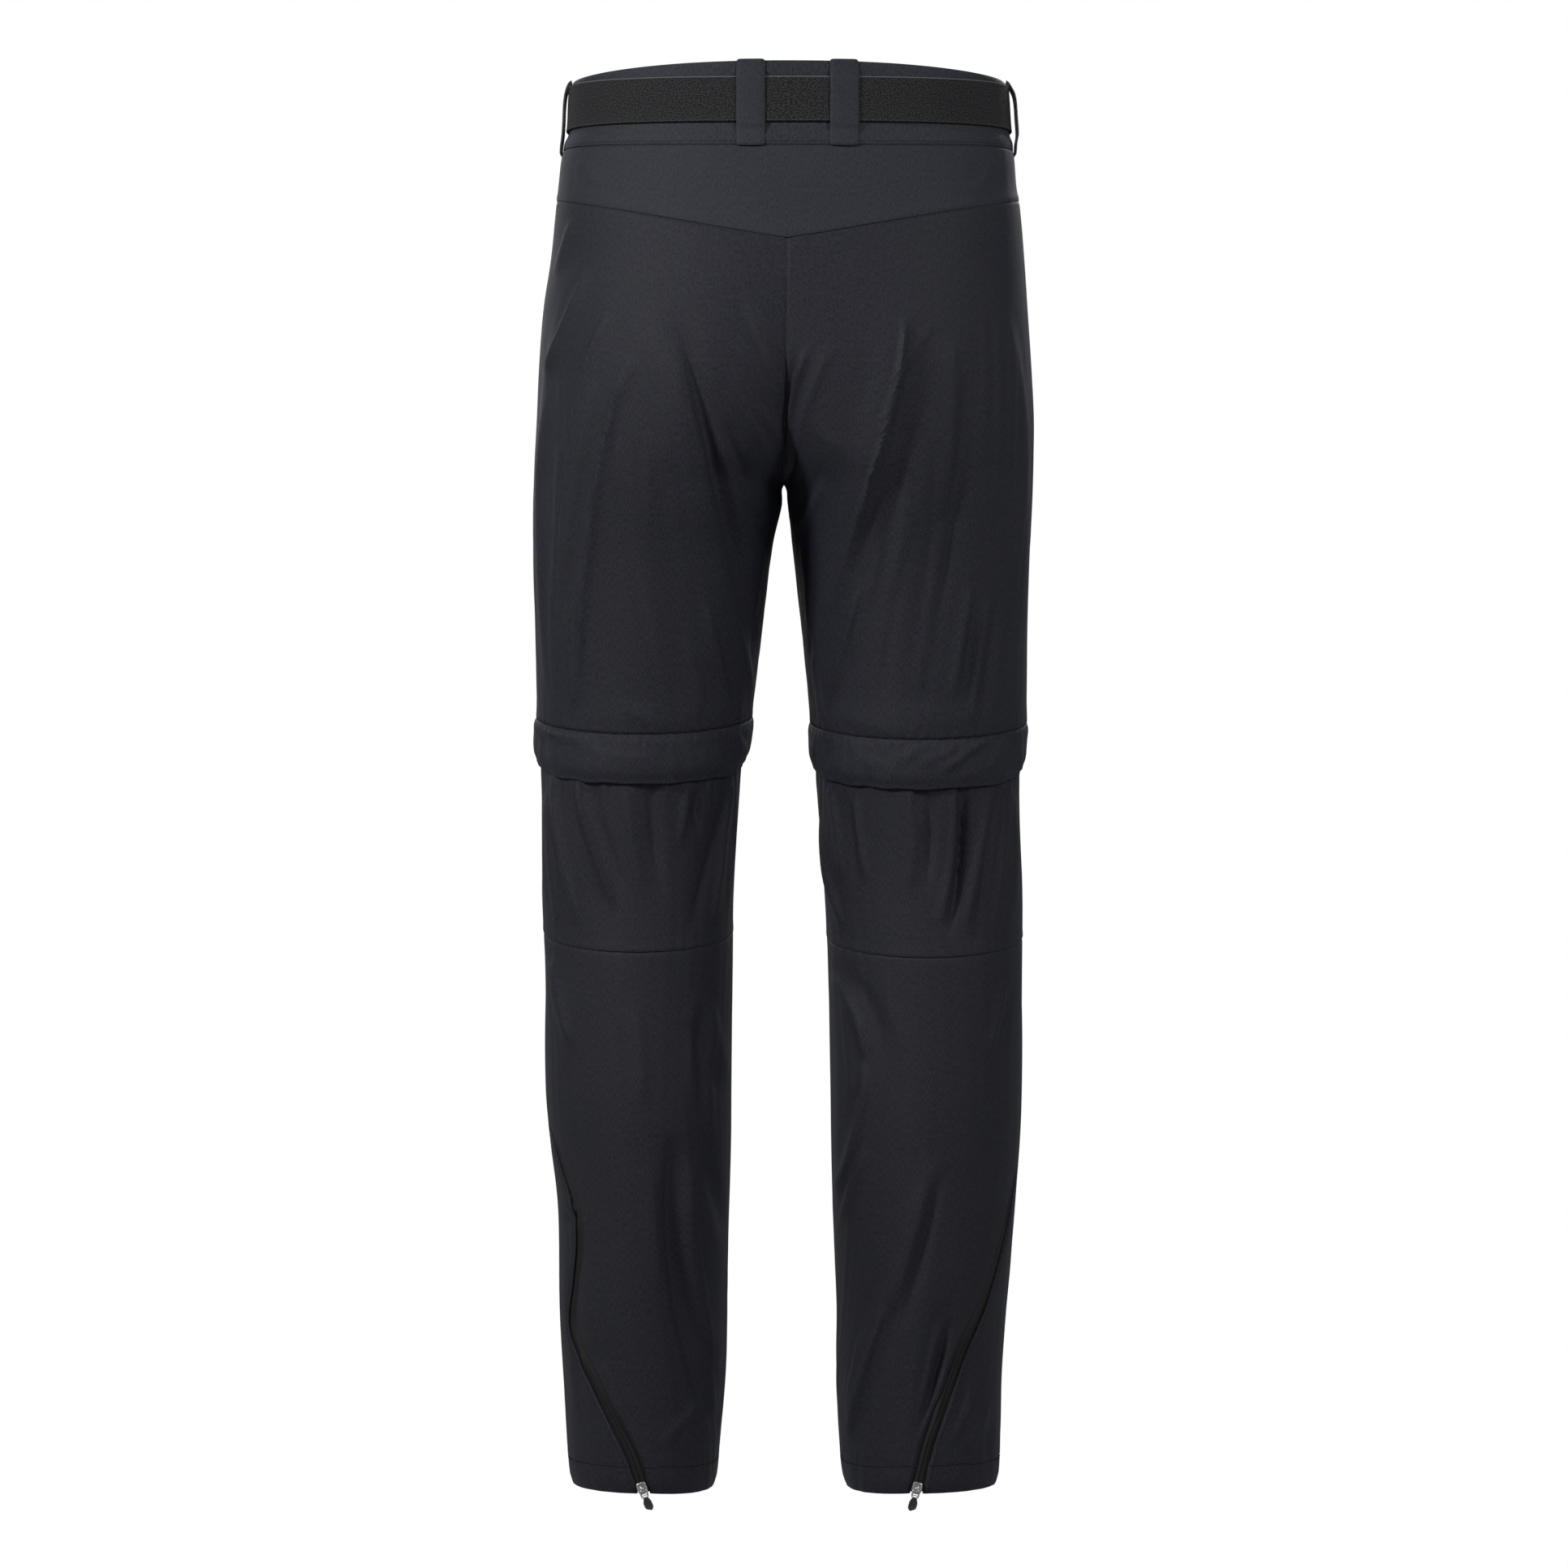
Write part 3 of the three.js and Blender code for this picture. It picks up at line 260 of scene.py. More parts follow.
# Sharper creases on the back, each through three places on the 1932-pixel picture, with half
# width and height in millimetres, and lean, which is above zero where its right side is steeper
BACK_CREASES = {
    "left": [
        [(782, 1240), (790, 1300), (792, 1365), 5, 1.6, 0.4],
        [(850, 1255), (866, 1305), (884, 1350), 6, -2.2, -0.3],
        [(872, 1235), (886, 1290), (898, 1345), 5, 1.5, 0.4],
        [(800, 1430), (806, 1520), (812, 1600), 5, 1.6, 0.5],
        [(840, 1560), (856, 1640), (874, 1700), 4.5, -1.8, 0.0],
        [(694, 1560), (690, 1640), (694, 1720), 3, 1.2, -0.3],
        [(712, 1660), (716, 1710), (728, 1750), 3, 1.4, -0.3],
        [(742, 1700), (760, 1736), (786, 1770), 3.2, -1, 0.0],
        [(840, 1780), (856, 1756), (870, 1724), 3, 1.2, 0.3],
        [(684, 1200), (694, 1250), (704, 1300), 3, 1.3, -0.4],
        [(797, 520), (790, 620), (806, 760), 4.5, -1.1, 0.0],
        [(828, 500), (846, 640), (868, 800), 4, -1, 0.2],
        [(738, 470), (716, 560), (700, 700), 3, 1.6, -0.4],
        [(690, 540), (684, 640), (683, 760), 2.8, 1.4, -0.3],
        [(716, 700), (712, 790), (702, 880), 2.8, 1.7, -0.4],
        [(728, 690), (722, 790), (716, 885), 2.8, -0.8, 0.0],
        [(858, 600), (880, 680), (896, 760), 4, 1.5, 0.5],
        [(905, 660), (918, 720), (930, 790), 3.4, -1.1, 0.0],
        [(920, 800), (928, 850), (934, 890), 2.8, 1.5, 0.4],
        [(842, 790), (858, 830), (866, 880), 3.4, 1.4, 0.3],
        [(702, 265), (691, 298), (680, 330), 3.4, 2.2, -0.4],
        [(722, 330), (692, 400), (667, 455), 3.8, 3, -0.5],
        [(752, 385), (706, 540), (687, 850), 3.4, 3.8, -0.6],
        [(780, 440), (736, 600), (711, 872), 3.2, 4.6, -0.7],
        [(672, 480), (661, 640), (671, 860), 3, 2.6, -0.4],
        [(836, 420), (868, 570), (926, 835), 4.6, 4.2, 0.85],
        [(842, 430), (884, 590), (938, 820), 4.6, -2.1, 0.0],
        [(893, 520), (922, 600), (950, 690), 3.4, -2.2, -0.3],
        [(878, 520), (908, 610), (934, 730), 3.8, 2, 0.6],
        [(917, 370), (948, 425), (968, 505), 3.8, 2.1, 0.4],
        [(912, 385), (934, 440), (962, 520), 3.8, -1.2, 0.0],
        [(935, 500), (952, 528), (967, 550), 2.5, 1.5, 0.3],
        [(905, 470), (925, 520), (962, 580), 3, 1.2, 0.3],
        [(803, 560), (826, 680), (846, 850), 6.8, -1.3, 0.0],
        [(785, 600), (800, 720), (822, 860), 6.8, 2.2, 0.0],
        [(868, 745), (885, 810), (902, 880), 3, 2.1, 0.6],
        [(884, 760), (898, 830), (908, 890), 2.7, -1.4, 0.0],
        [(698, 740), (702, 800), (706, 872), 2.6, 1.7, 0.2],
        [(676, 700), (679, 780), (683, 870), 2.5, 1.6, 0.0],
        [(760, 860), (790, 884), (835, 893), 3, 1.3, 0.0],
        [(681, 950), (690, 1025), (712, 1140), 2.5, 4.5, 0.5],
        [(709, 955), (726, 1030), (758, 1118), 2.5, 4.8, 0.5],
        [(722, 958), (744, 1030), (770, 1100), 3.2, -2, 0.0],
        [(863, 968), (858, 998), (860, 1022), 2.9, -3.7, 0.0],
        [(846, 966), (843, 1000), (836, 1040), 3.2, 2.4, 0.0],
        [(899, 960), (892, 1030), (878, 1138), 2.5, 3.2, -0.5],
        [(893, 985), (876, 1060), (852, 1140), 3.2, -2.5, 0.0],
        [(799, 966), (804, 1030), (816, 1096), 3.6, -2.5, 0.0],
        [(770, 970), (778, 1020), (792, 1085), 3.9, 2.5, 0.0],
        [(671, 1000), (675, 1060), (682, 1130), 2.5, 2.9, 0.0],
        [(733, 962), (735, 978), (740, 1000), 2.5, -1.6, 0.0],
        [(676, 1184), (688, 1240), (700, 1290), 3.4, 2.9, 0.3],
        [(850, 1430), (852, 1570), (886, 1700), 6, 3, -0.4],
        [(828, 1400), (828, 1560), (866, 1740), 7, -4.6, -0.5],
        [(864, 1405), (880, 1470), (893, 1530), 5, -3.2, 0.0],
        [(856, 1225), (850, 1300), (852, 1370), 3, 1.5, 0.0],
        [(880, 1245), (874, 1320), (876, 1400), 3, 1.7, 0.0],
        [(866, 1235), (862, 1310), (865, 1385), 3, -1.2, 0.0],
        [(812, 1795), (836, 1768), (862, 1738), 2.7, 2.1, 0.2],
        [(836, 1798), (856, 1772), (878, 1750), 2.5, 1.7, 0.0],
        [(846, 1690), (862, 1730), (880, 1770), 3.8, -1.9, 0.0],
        [(689, 1486), (697, 1492), (704, 1501), 2.8, 1.5, 0.6],
        [(694, 1519), (698, 1510), (705, 1503), 2.8, -1.6, 0.0],
        [(697, 1612), (700, 1680), (706, 1760), 3, 1.7, 0.0],
        [(742, 1690), (752, 1722), (772, 1760), 3.4, 1.7, 0.3],
        [(712, 1560), (722, 1610), (728, 1660), 5.3, 1.7, 0.0],
    ],
    "right": [
        [(972, 548), (977, 566), (966, 597), 2.6, -3.4, 0.0],
        [(1068, 1420), (1050, 1470), (1036, 1520), 3.4, 2.2, -0.5],
        [(1128, 1460), (1108, 1560), (1080, 1640), 5, 2, -0.4],
        [(1062, 1650), (1052, 1710), (1044, 1760), 3.2, 1.8, -0.5],
        [(1150, 1640), (1140, 1700), (1130, 1760), 3.2, -1.6, 0.0],
        [(1166, 1700), (1158, 1740), (1150, 1790), 3, 1.4, -0.3],
        [(1196, 1690), (1186, 1730), (1180, 1780), 3, -1.3, 0.0],
        [(1086, 1480), (1078, 1560), (1066, 1640), 4, -1.4, 0.0],
        [(1040, 1240), (1050, 1300), (1052, 1360), 3.2, 1.2, -0.3],
        [(1050, 1700), (1040, 1740), (1036, 1780), 2.8, 0.9, -0.3],
        [(1000, 520), (1020, 545), (1046, 556), 3.2, 1.3, 0.0],
        [(1086, 660), (1068, 740), (1048, 820), 3.4, 1.7, -0.5],
        [(1120, 560), (1110, 650), (1092, 740), 4.5, 1.4, -0.4],
        [(1150, 560), (1146, 660), (1130, 780), 4, -1.1, 0.0],
        [(1104, 700), (1096, 780), (1084, 870), 4.5, -0.9, 0.0],
        [(1076, 600), (1070, 650), (1056, 700), 3, -0.9, 0.0],
        [(1006, 650), (1000, 720), (998, 790), 3.4, 1.4, 0.3],
        [(982, 470), (979, 500), (974, 528), 2.6, -1.5, 0.0],
        [(1108, 395), (1096, 500), (1022, 755), 3.4, 4.3, -0.6],
        [(1118, 430), (1106, 520), (1046, 740), 4.2, -1.6, 0.0],
        [(1062, 715), (1040, 792), (1019, 866), 2.7, 3.4, -0.5],
        [(1072, 740), (1052, 810), (1032, 870), 3.4, -1.2, 0.0],
        [(1134, 412), (1122, 440), (1112, 468), 2.5, 1.8, 0.2],
        [(1150, 395), (1136, 425), (1126, 452), 2.5, 1.2, 0.2],
        [(995, 430), (979, 480), (971, 540), 2.7, 2.8, -0.4],
        [(984, 440), (972, 485), (969, 535), 2.6, -1.6, 0.0],
        [(1024, 430), (998, 490), (980, 560), 3.8, 1.3, -0.2],
        [(1018, 596), (1000, 626), (984, 652), 2.6, 2.4, 0.3],
        [(1012, 580), (992, 610), (979, 632), 3, -1.2, 0.0],
        [(1170, 420), (1174, 520), (1160, 640), 5.3, 2.5, 0.3],
        [(1190, 480), (1182, 600), (1144, 790), 4.6, -1.8, 0.0],
        [(1165, 640), (1150, 740), (1130, 860), 5.3, 2.4, 0.3],
        [(1198, 725), (1186, 790), (1176, 862), 3, 2.5, 0.5],
        [(1205, 730), (1196, 800), (1188, 875), 2.7, -1.7, 0.0],
        [(1220, 735), (1208, 810), (1198, 890), 2.7, 2.5, 0.4],
        [(1229, 745), (1219, 820), (1212, 893), 2.6, -1.6, 0.0],
        [(1240, 700), (1234, 790), (1226, 885), 2.6, 1.9, 0.3],
        [(1250, 690), (1246, 790), (1240, 880), 2.5, -1, 0.0],
        [(1228, 380), (1232, 480), (1230, 600), 3, 1.2, 0.0],
        [(1246, 400), (1250, 500), (1248, 620), 3, 1.2, 0.0],
        [(1212, 390), (1214, 480), (1210, 560), 3.4, 1.1, 0.0],
        [(1003, 800), (1008, 840), (1016, 890), 2.6, 1.8, 0.2],
        [(1040, 880), (1080, 896), (1130, 900), 3, 1.1, 0.0],
        [(1022, 968), (1034, 1022), (1040, 1085), 2.5, 3.2, 0.4],
        [(1056, 978), (1060, 1030), (1070, 1085), 2.5, 2.5, 0.4],
        [(1012, 1010), (1022, 1075), (1042, 1145), 2.5, 3.5, 0.3],
        [(1046, 985), (1050, 1030), (1054, 1080), 2.5, -2, 0.0],
        [(1142, 972), (1147, 1030), (1142, 1090), 2.9, -3.1, 0.0],
        [(1120, 975), (1128, 1030), (1122, 1090), 3.9, 2.2, 0.0],
        [(1176, 966), (1176, 1050), (1160, 1140), 3.2, 3.7, 0.6],
        [(1188, 966), (1187, 1050), (1172, 1145), 2.5, -4.3, 0.0],
        [(1222, 970), (1210, 1050), (1190, 1150), 2.9, 3.2, 0.5],
        [(1233, 972), (1222, 1050), (1204, 1155), 2.5, -3.7, 0.0],
        [(1247, 985), (1240, 1060), (1226, 1150), 2.5, 2.4, 0.0],
        [(1026, 1205), (1058, 1252), (1068, 1310), 3, 3.3, 0.4],
        [(1068, 1310), (1062, 1390), (1030, 1484), 3.2, 3.7, 0.3],
        [(1040, 1195), (1078, 1250), (1086, 1320), 4.6, -2.3, 0.0],
        [(1092, 1205), (1098, 1245), (1112, 1290), 3.8, 1.5, 0.0],
        [(1242, 1215), (1232, 1260), (1222, 1300), 3, 2.7, 0.4],
        [(1250, 1225), (1241, 1270), (1232, 1320), 3, -2.3, 0.0],
        [(1152, 1430), (1128, 1530), (1100, 1625), 4.6, 2.3, 0.4],
        [(1164, 1440), (1140, 1540), (1114, 1640), 4.6, -2.5, 0.0],
        [(1092, 1618), (1066, 1705), (1046, 1790), 3.2, 3.7, 0.4],
        [(1106, 1625), (1080, 1710), (1058, 1790), 4.6, -2.1, 0.0],
        [(1160, 1640), (1146, 1695), (1128, 1770), 3.8, 2.1, 0.4],
        [(1172, 1640), (1157, 1700), (1138, 1765), 2.9, -3.3, 0.0],
        [(1204, 1715), (1192, 1752), (1176, 1788), 2.7, 2.3, 0.2],
        [(1222, 1745), (1212, 1772), (1196, 1796), 2.6, 2.1, 0.2],
        [(1214, 1700), (1204, 1740), (1190, 1780), 3, -1.5, 0.0],
        [(1228, 1770), (1222, 1800), (1226, 1825), 2.5, -1.9, 0.0],
        [(1084, 1500), (1080, 1560), (1066, 1610), 5.3, 1.5, 0.0],
    ],
}

# Creases on the front, which the picture doesn't show: places (x, z) in millimetres
FRONT_CREASES = {
    "left": [
        [(-20, -250), (-48, -262), (-84, -252), 5.1, 1.95, 0.3],
        [(-16, -272), (-40, -290), (-72, -296), 4.2, 1.69, 0.3],
        [(-28, -225), (-60, -232), (-98, -216), 6, -1.3, 0.0],
        [(-118, -180), (-108, -260), (-84, -340), 5.1, 1.95, 0.5],
        [(-142, -300), (-136, -370), (-140, -452), 3.8, 1.82, 0.3],
        [(-100, -330), (-106, -390), (-102, -455), 4.2, -1.56, 0.0],
        [(-66, -380), (-72, -420), (-70, -456), 3.4, 1.43, 0.3],
        [(-130, -500), (-138, -550), (-130, -610), 3.8, 1.69, 0.4],
        [(-70, -505), (-62, -560), (-74, -618), 3.8, 1.56, -0.3],
        [(-112, -510), (-110, -545), (-118, -590), 3.4, -1.69, 0.0],
        [(-140, -640), (-120, -668), (-80, -672), 6, 1.56, 0.2],
        [(-130, -690), (-116, -760), (-122, -840), 5.1, 1.56, 0.4],
        [(-66, -720), (-72, -800), (-68, -880), 5.1, 1.3, 0.0],
        [(-110, -860), (-118, -930), (-104, -1000), 5.1, 1.69, 0.4],
        [(-140, -950), (-132, -990), (-136, -1022), 3.8, 1.3, 0.0],
        [(-72, -960), (-80, -1000), (-74, -1024), 3.8, 1.17, 0.0],
    ],
    "right": [
        [(14, -246), (44, -258), (80, -246), 5.1, 1.95, -0.3],
        [(12, -270), (36, -290), (66, -298), 4.2, 1.56, -0.3],
        [(26, -222), (58, -230), (94, -212), 6, -1.3, 0.0],
        [(112, -176), (104, -262), (76, -338), 5.1, 2.08, -0.5],
        [(134, -290), (130, -370), (132, -450), 3.8, 1.69, 0.3],
        [(92, -320), (98, -390), (96, -452), 4.2, -1.56, 0.0],
        [(54, -372), (62, -420), (58, -455), 3.4, 1.3, 0.3],
        [(122, -506), (130, -556), (124, -612), 3.8, 1.56, 0.4],
        [(58, -508), (52, -560), (64, -616), 3.8, 1.69, -0.3],
        [(98, -512), (102, -550), (92, -596), 3.4, -1.56, 0.0],
        [(130, -642), (108, -670), (66, -668), 6, 1.56, 0.2],
        [(120, -696), (108, -770), (116, -850), 5.1, 1.43, 0.4],
        [(54, -716), (60, -790), (54, -870), 5.1, 1.3, 0.0],
        [(104, -870), (110, -930), (96, -1004), 5.1, 1.56, 0.4],
        [(134, -940), (126, -985), (132, -1020), 3.8, 1.3, 0.0],
        [(62, -955), (70, -995), (64, -1022), 3.8, 1.17, 0.0],
    ],
}

# Creases on the outer and inner sides: places (y, z) in millimetres
SIDE_CREASES = {
    "left": {
        "outer": [
            [(-70, -150), (-40, -260), (-20, -400), 9, 1.4, 0.3],
            [(40, -180), (24, -300), (34, -440), 9, 1.4, 0.2],
            [(0, -330), (-8, -400), (4, -456), 5, -1.2, 0.0],
            [(-40, -520), (-24, -560), (-30, -610), 6, 1.3, 0.3],
            [(30, -512), (20, -560), (36, -612), 6, 1.2, 0.3],
            [(-4, -515), (0, -550), (-8, -590), 5, -1.2, 0.0],
            [(20, -660), (4, -740), (14, -830), 9, 1.2, 0.2],
            [(10, -850), (24, -930), (16, -1010), 8, 1.3, 0.2],
            [(-24, -900), (-14, -960), (-20, -1015), 5, -1.0, 0.0],
        ],
        "inner": [
            [(-60, -310), (-40, -360), (-50, -440), 7, 1.3, 0.3],
            [(40, -315), (24, -370), (36, -450), 7, 1.3, 0.3],
            [(-30, -510), (-16, -560), (-26, -612), 6, 1.2, 0.3],
            [(30, -700), (14, -800), (24, -900), 9, 1.1, 0.0],
            [(-20, -880), (-10, -950), (-18, -1015), 7, 1.0, 0.0],
        ],
    },
    "right": {
        "outer": [
            [(-74, -160), (-46, -270), (-30, -410), 9, 1.4, 0.3],
            [(44, -170), (30, -290), (26, -430), 9, 1.4, 0.2],
            [(-6, -340), (2, -400), (-4, -458), 5, -1.2, 0.0],
            [(-36, -518), (-28, -560), (-38, -612), 6, 1.3, 0.3],
            [(26, -516), (34, -566), (24, -616), 6, 1.2, 0.3],
            [(2, -520), (-4, -556), (6, -596), 5, -1.2, 0.0],
            [(16, -670), (6, -750), (20, -850), 9, 1.2, 0.2],
            [(0, -860), (16, -940), (4, -1012), 8, 1.3, 0.2],
            [(34, -900), (28, -960), (36, -1018), 5, -1.0, 0.0],
        ],
        "inner": [
            [(-56, -312), (-44, -366), (-52, -446), 7, 1.3, 0.3],
            [(36, -318), (28, -372), (40, -452), 7, 1.3, 0.3],
            [(-26, -512), (-20, -560), (-30, -614), 6, 1.2, 0.3],
            [(26, -690), (18, -800), (28, -910), 9, 1.1, 0.0],
            [(-16, -890), (-12, -955), (-20, -1018), 7, 1.0, 0.0],
        ],
    },
}


def smooth_step(value, low, high):
    """Rises from 0 at low to 1 at high along 3t^2 - 2t^3."""
    t = np.clip((value - low) / (high - low), 0, 1)
    return t * t * (3 - 2 * t)


def smooth_curve(rows, column):
    """Cubic through that column of the rows, over their first column, with each slope taken from
    the places on both sides, and level past both ends."""
    rows = np.array(sorted(rows), float)
    x, y = rows[:, 0], rows[:, column]
    near = np.arange(len(x))
    before, after = np.maximum(near - 1, 0), np.minimum(near + 1, len(x) - 1)
    slope = (y[after] - y[before]) / (x[after] - x[before])

    def curve(at):
        at = np.clip(at, x[0], x[-1])
        i = np.clip(np.searchsorted(x, at) - 1, 0, len(x) - 2)
        step = x[i + 1] - x[i]
        t = (at - x[i]) / step
        start = y[i] * (2 * t**3 - 3 * t**2 + 1) + slope[i] * step * (t**3 - 2 * t**2 + t)
        return start + y[i + 1] * (3 * t**2 - 2 * t**3) + slope[i + 1] * step * (t**3 - t**2)

    return curve


def centre_plane(z):
    """The plane between the legs drifts 2.5 mm to the left on its way down to the crotch."""
    return -2.5 * smooth_step(-z, 120, -CROTCH_Z)


inner_squareness = smooth_curve(INNER_SQUARENESS, 1)


class Leg:
    """One leg column. The angle round it is 0 at the outer side, a quarter turn at the back, a half
    turn at the inner side, and below zero over the front."""

    def __init__(self, name, side, levels, zip_line, knee_drop):
        self.name, self.side, self.knee_drop = name, side, knee_drop
        self.zip_top = max(row[0] for row in zip_line)
        self.out, self.inner, self.back, self.front, self.square = (
            smooth_curve(levels, column) for column in range(1, 6)
        )
        degrees = smooth_curve(zip_line, 1)
        self.zip_angle = lambda z: np.radians(degrees(z))

    def squareness(self, across, z):
        """The oval's power: the leg's own on its outer half, and that of INNER_SQUARENESS inside."""
        return np.where(across >= 0, self.square(z), inner_squareness(z))

    def section(self, angle, z):
        """Oval |x/a|^n + |y/b|^n = 1, with half width a between the outer and the inner reach, b
        the depth to the back or the front, and n the squareness."""
        middle = (self.out(z) + self.inner(z)) / 2
        half = (self.out(z) - self.inner(z)) / 2
        across, along = np.cos(angle), np.sin(angle)
        power = 2 / self.squareness(across, z)
        depth = np.where(along >= 0, self.back(z), self.front(z))
        x = middle + half * np.sign(across) * np.abs(across) ** power
        y = -depth * np.sign(along) * np.abs(along) ** power
        return np.stack(np.broadcast_arrays(self.side * x, y, z), -1)

    def normal(self, angle, z):
        """Unit cross product of the section's turn and its rise."""
        turn = self.section(angle + 0.02, z) - self.section(angle - 0.02, z)
        rise = self.section(angle, z + 2) - self.section(angle, z - 2)
        out = np.cross(turn, rise) * -self.side
        return out / np.linalg.norm(out, axis=-1, keepdims=True)

    def inner_angle(self, z):
        """The angle where the section meets the plane between the legs, or a half turn below."""
        middle = (self.out(z) + self.inner(z)) / 2
        half = (self.out(z) - self.inner(z)) / 2
        across = np.clip((self.side * centre_plane(z) - middle) / half, -1, 1)
        above = np.arccos(np.sign(across) * np.abs(across) ** (self.squareness(across, z) / 2))
        return np.where(z <= CROTCH_Z, math.pi, above)

    def settled_angle(self, z):
        """The inner angle without its quick turn at the crotch: over the last 80 mm it goes evenly
        to a half turn."""
        high = self.inner_angle(np.array(CROTCH_Z + 80.0))
        eased = high + (math.pi - high) * np.clip((CROTCH_Z + 80 - z) / 80, 0, 1)
        return np.where(z > CROTCH_Z + 80, self.inner_angle(z), eased)

    def angle_at(self, facing, x, z):
        """The angle where the section has that x, on the back (1) or the front (-1)."""
        middle = (self.out(z) + self.inner(z)) / 2
        half = (self.out(z) - self.inner(z)) / 2
        across = np.clip((self.side * x - middle) / half, -1, 1)
        return facing * np.arccos(np.sign(across) * np.abs(across) ** (self.squareness(across, z) / 2))


LEFT = Leg("left", -1, LEFT_LEVELS, LEFT_ZIP_LINE, 0)
RIGHT = Leg("right", 1, RIGHT_LEVELS, RIGHT_ZIP_LINE, 4)
LEGS = [LEFT, RIGHT]


MM_PER_PIXEL = 0.615
PICTURE_CENTRE_X, PICTURE_WAIST_Y = 970, 125
CAMERA_X, CAMERA_Z = -2.46, -517


def on_cloth(place):
    """A place on the picture as (x, z) on the cloth's back: 0.615 mm to a pixel at the outline,
    drawn in towards the camera's axis by how near the cloth is, 2.1% at the seat, 1.4% at the hem."""
    x = (place[0] - PICTURE_CENTRE_X) * MM_PER_PIXEL
    z = (PICTURE_WAIST_Y - place[1]) * MM_PER_PIXEL
    near = 0.979 - 0.007 * min(max((z + 500) / -550, 0), 1)
    return CAMERA_X + (x - CAMERA_X) * near, CAMERA_Z + (z - CAMERA_Z) * near


def bent_line(start, middle, end, through):
    """Seventeen places on a parabola from start to end, through middle or pulled towards it."""
    start, middle, end = (np.array(p, float) for p in (start, middle, end))
    if through:
        middle = 2 * middle - (start + end) / 2
    t = np.linspace(0, 1, 17)[:, None]
    return start * (1 - t) ** 2 + 2 * middle * t * (1 - t) + end * t**2


def crease_lift(flat, line, half_width, height, lean):
    """Height of one crease over places on a flat view: height times exp(-(d/w)^2), where d is the
    distance to the line and w is half_width, larger on the side it leans away from. Along the line,
    as u runs from 0 to 1, an even one rises and dies as the sine of 0.08 to 0.92 of a half turn,
    and a leaning one as 1 - (1 - 4u(1 - u))^2, so that its two sides meet level at its ends."""
    low, high = line.min(0) - 3.5 * half_width, line.max(0) + 3.5 * half_width
    lift = np.zeros(len(flat))
    near = np.flatnonzero(((flat > low) & (flat < high)).all(1))
    if not len(near):
        return lift
    start, run = line[:-1], np.diff(line, axis=0)
    away = flat[near, None] - start
    t = np.clip((away * run).sum(-1) / (run**2).sum(-1), 0, 1)
    away = away - run * t[..., None]
    reach = np.hypot(away[..., 0], away[..., 1])
    best = reach.argmin(1)
    row = np.arange(len(near))
    reach, t, gap, way = reach[row, best], t[row, best], away[row, best], run[best]
    side = np.sign(way[:, 0] * gap[:, 1] - way[:, 1] * gap[:, 0]) * np.sign(-line[-1, 1] + line[0, 1])
    width = half_width * (1 - np.where(side > 0, 0.62 * lean, -0.9 * lean))
    u = (best + t) / len(run)
    fade = 1 - (1 - 4 * u * (1 - u)) ** 2 if lean else np.sin(math.pi * (0.08 + 0.84 * u))
    lift[near] = height * fade * np.exp(-((reach / np.maximum(width, 0.3 * half_width)) ** 2))
    return lift


def fold_lift(leg, angle, place, fine=True):
    """Sum of the folds and creases at places on the leg. Those on the back and front fade out near
    the sides, and those on the sides fade out on the back and front."""
    shape = place.shape[:-1]
    x, y, z = place.reshape(-1, 3).T
    along, across = np.sin(angle).ravel(), np.cos(angle).ravel()
    off_side = smooth_step(np.abs(along), 0.05, 0.4)
    near_centre = 1 - smooth_step(np.abs(x - centre_plane(z)), 2, 22)
    off_centre = 1 - smooth_step(z, CROTCH_Z - 45, CROTCH_Z) * near_centre
    lift = np.zeros(len(x))
    for face, here in (("back", along >= 0), ("front", along < 0)):
        if not here.any():
            continue
        flat = np.stack([x[here], z[here]], -1)
        lines = [
            (bent_line(row[2:4], row[4:6], row[6:8], False), row[8], row[9], 0)
            for row in LARGE_FOLDS
            if row[0] == leg.name and row[1] == face
        ]
        total = sum(crease_lift(flat, *line) for line in lines)
        if fine:
            total = total * (1 + 0.4 * smooth_step(-z[here], 620, 800))
        total = total * off_centre[here]
        if fine and face == "back":
            for start, middle, end, *rest in BACK_CREASES[leg.name]:
                line = bent_line(on_cloth(start), on_cloth(middle), on_cloth(end), True)
                total = total + crease_lift(flat, line, *rest)
        elif fine:
            for start, middle, end, *rest in FRONT_CREASES[leg.name]:
                total = total + crease_lift(flat, bent_line(start, middle, end, True), *rest)
        lift[here] += total * off_side[here]
    if fine:
        for side, here in (("outer", across > 0.3), ("inner", across < -0.3)):
            flat = np.stack([y[here], z[here]], -1)
            total = sum(
                crease_lift(flat, bent_line(start, middle, end, True), *rest)
                for start, middle, end, *rest in SIDE_CREASES[leg.name][side]
            )
            lift[here] += total * smooth_step(np.abs(across[here]), 0.55, 0.85)
    return lift.reshape(shape)


def waves(u, v, lengths, seed):
    """Uneven ripples across u that drift along v: sines of those wavelengths with seeded phases,
    each swelling and dying over about five of its waves. They stay within -1 and 1."""
    chance = np.random.default_rng(seed)
    total = 0
    for length in lengths:
        phase, drift, swell, turn = chance.uniform(0, 2 * math.pi, 4)
        bend = 0.9 * np.sin(v / (9 * length) + turn)
        swelling = 0.55 + 0.45 * np.sin(2 * math.pi * u / (5.3 * length) + v / (11 * length) + swell)
        total = total + np.sin(2 * math.pi * u / length + drift * v / (14 * length) + bend + phase) * swelling
    return total / len(lengths)


